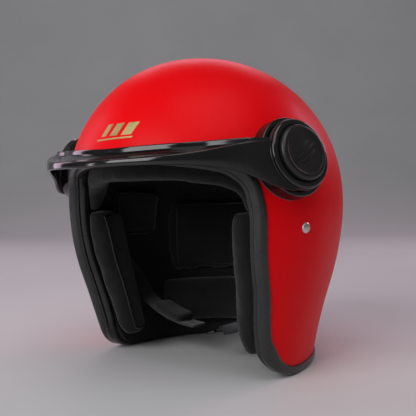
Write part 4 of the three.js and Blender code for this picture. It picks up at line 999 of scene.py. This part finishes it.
# chin pad: sleeve under the webbing
cp = [np.array(p, float) for p in [(-54, 5.2, 40), (-46, 5.0, 36.4), (-38, 4.8, 33), (-29, 4.7, 30.6), (-20.5, 4.6, 28.8)]]
Pc = resample(catmull(cp, False, 16), 60); Tc = unit(np.gradient(Pc, axis=0)); Nc = unit(np.cross(np.array([0, 1.0, 0]), Tc)); Nc = np.where(Nc[:, 2:3] < 0, -Nc, Nc)
th = np.linspace(0, 2 * math.pi, 40, endpoint=False)
q = np.linspace(0, 1, 60); endr = np.sqrt(np.clip(1 - (np.abs(2 * q - 1)) ** 10, 0.05, 1))
secs = [Pc[i] + Nc[i] * (3.9 + 0 * 1) + np.array([0, 1.0, 0])[None] * (13.2 * np.sign(np.cos(th)) * np.abs(np.cos(th)) ** 0.6 * endr[i])[:, None] + Nc[i][None] * (3.6 * np.sign(np.sin(th)) * np.abs(np.sin(th)) ** 0.8 * endr[i])[:, None] for i in range(60)]
chin = sweep("chin_cushion", secs, FABRIC, deg=60)
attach(chin, "chin_strap"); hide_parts("chin_pad")

# buckle
bx0, bx1 = np.array([57.2, 5.4, 41.8]), np.array([20.5, 4.7, 29.4])
bX = unit(bx1 - bx0); bY = unit(np.array([0, 1.0, 0]) - bX * bX[1]); bZ = unit(np.cross(bY, bX))
if bZ[2] > 0: bZ = -bZ
bp = lambda a, b, c: bx0 + bX * a + bY * b + bZ * c
bbox = lambda n, a0, a1, b0, b1, c0, c1, mt, bev=0.4: box_on(n, bp((a0 + a1) / 2, (b0 + b1) / 2, (c0 + c1) / 2), bX, bY, bZ, (a1 - a0, b1 - b0, c1 - c0), mt, bev)
body = joined("buckle_frame", bbox("bf0", 0.6, 36, -12, 12, -1.2, 0.4, DARKSTEEL, 0.5), bbox("bf1", 4, 33, -12, -10.4, -0.6, 7.2, DARKSTEEL, 0.6), bbox("bf2", 4, 33, 10.4, 12, -0.6, 7.2, DARKSTEEL, 0.6))
axle = lathe("buckle_pin", fillet([(0, -12.7), (2.4, -12.7), (2.4, -12.2), (1.4, -12.2), (1.4, 12.2), (2.4, 12.2), (2.4, 12.7), (0, 12.7)], 0.15, 3), bp(12, 0, 4.6), bY, DARKSTEEL, 32)
lever = joined("buckle_latch", lathe("bl0", fillet([(0, -9.6), (3.0, -9.6), (3.0, 9.6), (0, 9.6)], 0.4, 4), bp(12, 0, 4.6), bY, GRAIN, 40), bbox("bl1", 12, 31, -9.6, 9.6, 5.6, 7.5, GRAIN, 0.7), bbox("bl2", 24, 25.6, -6, 6, 3.9, 6, GRAIN, 0.2),
               *[bbox("bl3%d" % k, 24.5 + 1.6 * k, 25.3 + 1.6 * k, -7.5, 7.5, 7.3, 7.9, GRAIN, 0.2) for k in range(4)])
tongue = joined("toothed_tongue", bbox("bt0", 14.5, 46.6, -7, 7, 1.0, 2.6, DARKSTEEL, 0.4), *[bbox("bt1%d" % k, 16 + 1.6 * k, 17 + 1.6 * k, -6, 6, 2.3, 3.35, DARKSTEEL, 0.25) for k in range(18)], bbox("bt2", 43, 51.2, -10.5, 10.5, 1.0, 3.4, DARKSTEEL, 0.8))
for o, b_, node, sl in ((body, "chin_strap", "buckle_body", "steel"), (axle, "chin_strap", "buckle_axle", "steel"), (lever, "buckle_lever", "buckle_lever", "moulded_plastic"), (tongue, "chin_strap", "ratchet_tongue", "steel")):
    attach(o, b_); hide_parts(node)

# ------------------------------------------------------------ emblem: slanted bars over a thin rule
def emblem(name):
    obs = []
    def bar(pts, nu, nv, k):
        u, v = np.meshgrid(np.linspace(0, 1, nu), np.linspace(0, 1, nv))
        A, B, C, D = [np.array(p, float) for p in pts]
        q2 = (A * ((1 - u) * (1 - v))[..., None] + B * (u * (1 - v))[..., None] + C * (u * v)[..., None] + D * ((1 - u) * v)[..., None])
        top = at_xz(q2[..., 0], q2[..., 1], 0.16); bot = at_xz(q2[..., 0], q2[..., 1], -0.3)
        verts = np.concatenate([bot.reshape(-1, 3), top.reshape(-1, 3)]); K = nu * nv
        faces = grid(nu, nv, 0, flip=True) + grid(nu, nv, K)
        o = lambda i, j: j * nu + i
        for i in range(nu - 1):
            faces.append((o(i, 0), o(i + 1, 0), K + o(i + 1, 0), K + o(i, 0))); faces.append((o(i, nv - 1), K + o(i, nv - 1), K + o(i + 1, nv - 1), o(i + 1, nv - 1)))
        for j in range(nv - 1):
            faces.append((o(0, j), K + o(0, j), K + o(0, j + 1), o(0, j + 1))); faces.append((o(nu - 1, j), o(nu - 1, j + 1), K + o(nu - 1, j + 1), K + o(nu - 1, j)))
        obs.append(new_mesh(name + str(k), verts, faces, GOLD, 30))
    k = 0
    for x0, wd in ((-15, 5.5), (-5.5, 7.5), (6, 9.5)):
        bar([(x0, 190.2), (x0 + wd, 190.5), (x0 + wd + 4.6, 200.0), (x0 + 4.6, 199.7)], 8, 8, k); k += 1
    bar([(-19.5, 187.0), (16.8, 187.9), (17.4, 189.1), (-18.9, 188.2)], 28, 3, k)
    return joined(name, *obs)


emb = emblem("brow_mark")
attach(emb, "shell"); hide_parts("brow_emblem")

# hidden hardware keeps its CAD shape with a finished material
for n in ("pivot_pin", "pivot_nut", "strap_anchor"):
    for s in ("_left", "_right"):
        o = frame["nodes"][n + s]; o.data.materials.clear(); o.data.materials.append(STEEL)
for n in ("cheek_stud_upper", "cheek_stud_lower"):
    for s in ("_left", "_right"):
        o = frame["nodes"][n + s]; o.data.materials.clear(); o.data.materials.append(GRAIN)

# ------------------------------------------------------------ stage, light, camera
def floor():
    me = bpy.data.meshes.new("floor")
    X_, Y0, Y1 = 30.0, -30.0, 3.2
    prof = [(Y0, 0.0), (Y1 - 1.6, 0.0)] + [(Y1 - 1.6 + 1.6 * math.sin(a), 1.6 - 1.6 * math.cos(a)) for a in np.linspace(0.1, math.pi / 2, 14)] + [(Y1, 5.0)]
    v, f = [], []
    for y, z in prof: v += [(-X_, y, z), (X_, y, z)]
    for i in range(len(prof) - 1): f.append((2 * i, 2 * i + 1, 2 * i + 3, 2 * i + 2))
    me.from_pydata(v, [], f); me.shade_smooth()
    o = bpy.data.objects.new("floor", me); scene.collection.objects.link(o)
    mt, nt, b = material("pale_floor", (0.62, 0.62, 0.63), 0.6)
    n = noise(nt, 3, 4); nt.links.new(ramp(nt, n.outputs["Fac"], [(0.3, (0.60, 0.60, 0.61)), (0.7, (0.64, 0.64, 0.65))]), b.inputs["Base Color"])
    me.materials.append(mt)
    o.rotation_euler = (0, 0, math.radians(36.3))
    return o


floor()
AZ, EL, ROLL, D_CAM = math.radians(36.318), math.radians(-0.106), math.radians(-0.537), 0.5544
TGT = np.array([0, Y_SHIFT, (130 + 19.07) * 0.97]) / 1000
backv = np.array([math.sin(AZ) * math.cos(EL), -math.cos(AZ) * math.cos(EL), math.sin(EL)])
right = np.array([math.cos(AZ), math.sin(AZ), 0.0]); upv = np.cross(backv, right)
R2 = math.cos(ROLL) * right + math.sin(ROLL) * upv; U2 = -math.sin(ROLL) * right + math.cos(ROLL) * upv
cam_d = bpy.data.cameras.new("camera"); cam = bpy.data.objects.new("camera", cam_d); scene.collection.objects.link(cam)
loc = TGT + backv * D_CAM
cam.matrix_world = Matrix(((R2[0], U2[0], backv[0], loc[0]), (R2[1], U2[1], backv[1], loc[1]), (R2[2], U2[2], backv[2], loc[2]), (0, 0, 0, 1)))
cam_d.sensor_width = 36; cam_d.lens = 1.0824028 / 1.74962083e-3 / 416 * 36
cam_d.shift_x = (208 - 200.7) / 416; cam_d.shift_y = -(208 - 195.6) / 416
cam_d.clip_start = 0.01; cam_d.clip_end = 50
scene.camera = cam
scene.view_settings.view_transform = "Standard"
scene.view_settings.look = "None"
scene.view_settings.exposure = 0.0


def area(name, loc, target, size, power, color=(1, 1, 1), size_y=None):
    l = bpy.data.lights.new(name, "AREA"); l.energy = power; l.color = color
    l.shape = "RECTANGLE"; l.size = size; l.size_y = size_y or size
    o = bpy.data.objects.new(name, l); scene.collection.objects.link(o)
    o.location = loc
    o.rotation_euler = (Vector(target) - Vector(loc)).to_track_quat("-Z", "Y").to_euler()
    return o


c = Vector((0, 0, 0.15))
view_r, view_b = Vector(right), Vector(backv)
P = lambda r, b_, z: tuple(view_r * r + view_b * b_ + Vector((0, 0, z)))
area("key", P(-1.55, 1.65, 1.2), c, 1.6, 37)
area("top", P(0.2, 0.9, 1.9), c, 1.5, 12)
area("rim_right", P(1.5, -1.0, 1.0), c, 0.5, 6, (1, 0.62, 0.80), 0.8)
area("rim_left", P(-1.5, -0.9, 0.6), c, 0.5, 5, (1, 0.72, 0.90), 1.3)
area("rim_top", P(0.0, -1.5, 1.3), c, 1.2, 4, (1, 0.72, 0.90), 0.4)
area("strip_left", P(-1.15, 0.35, 0.12), c, 0.10, 1.0, (1, 1, 1), 0.7)
w = bpy.data.worlds.new("world"); scene.world = w; w.use_nodes = True
w.node_tree.nodes["Background"].inputs[0].default_value = (0.75, 0.76, 0.78, 1); w.node_tree.nodes["Background"].inputs[1].default_value = 0.16

bpy.context.view_layer.update()
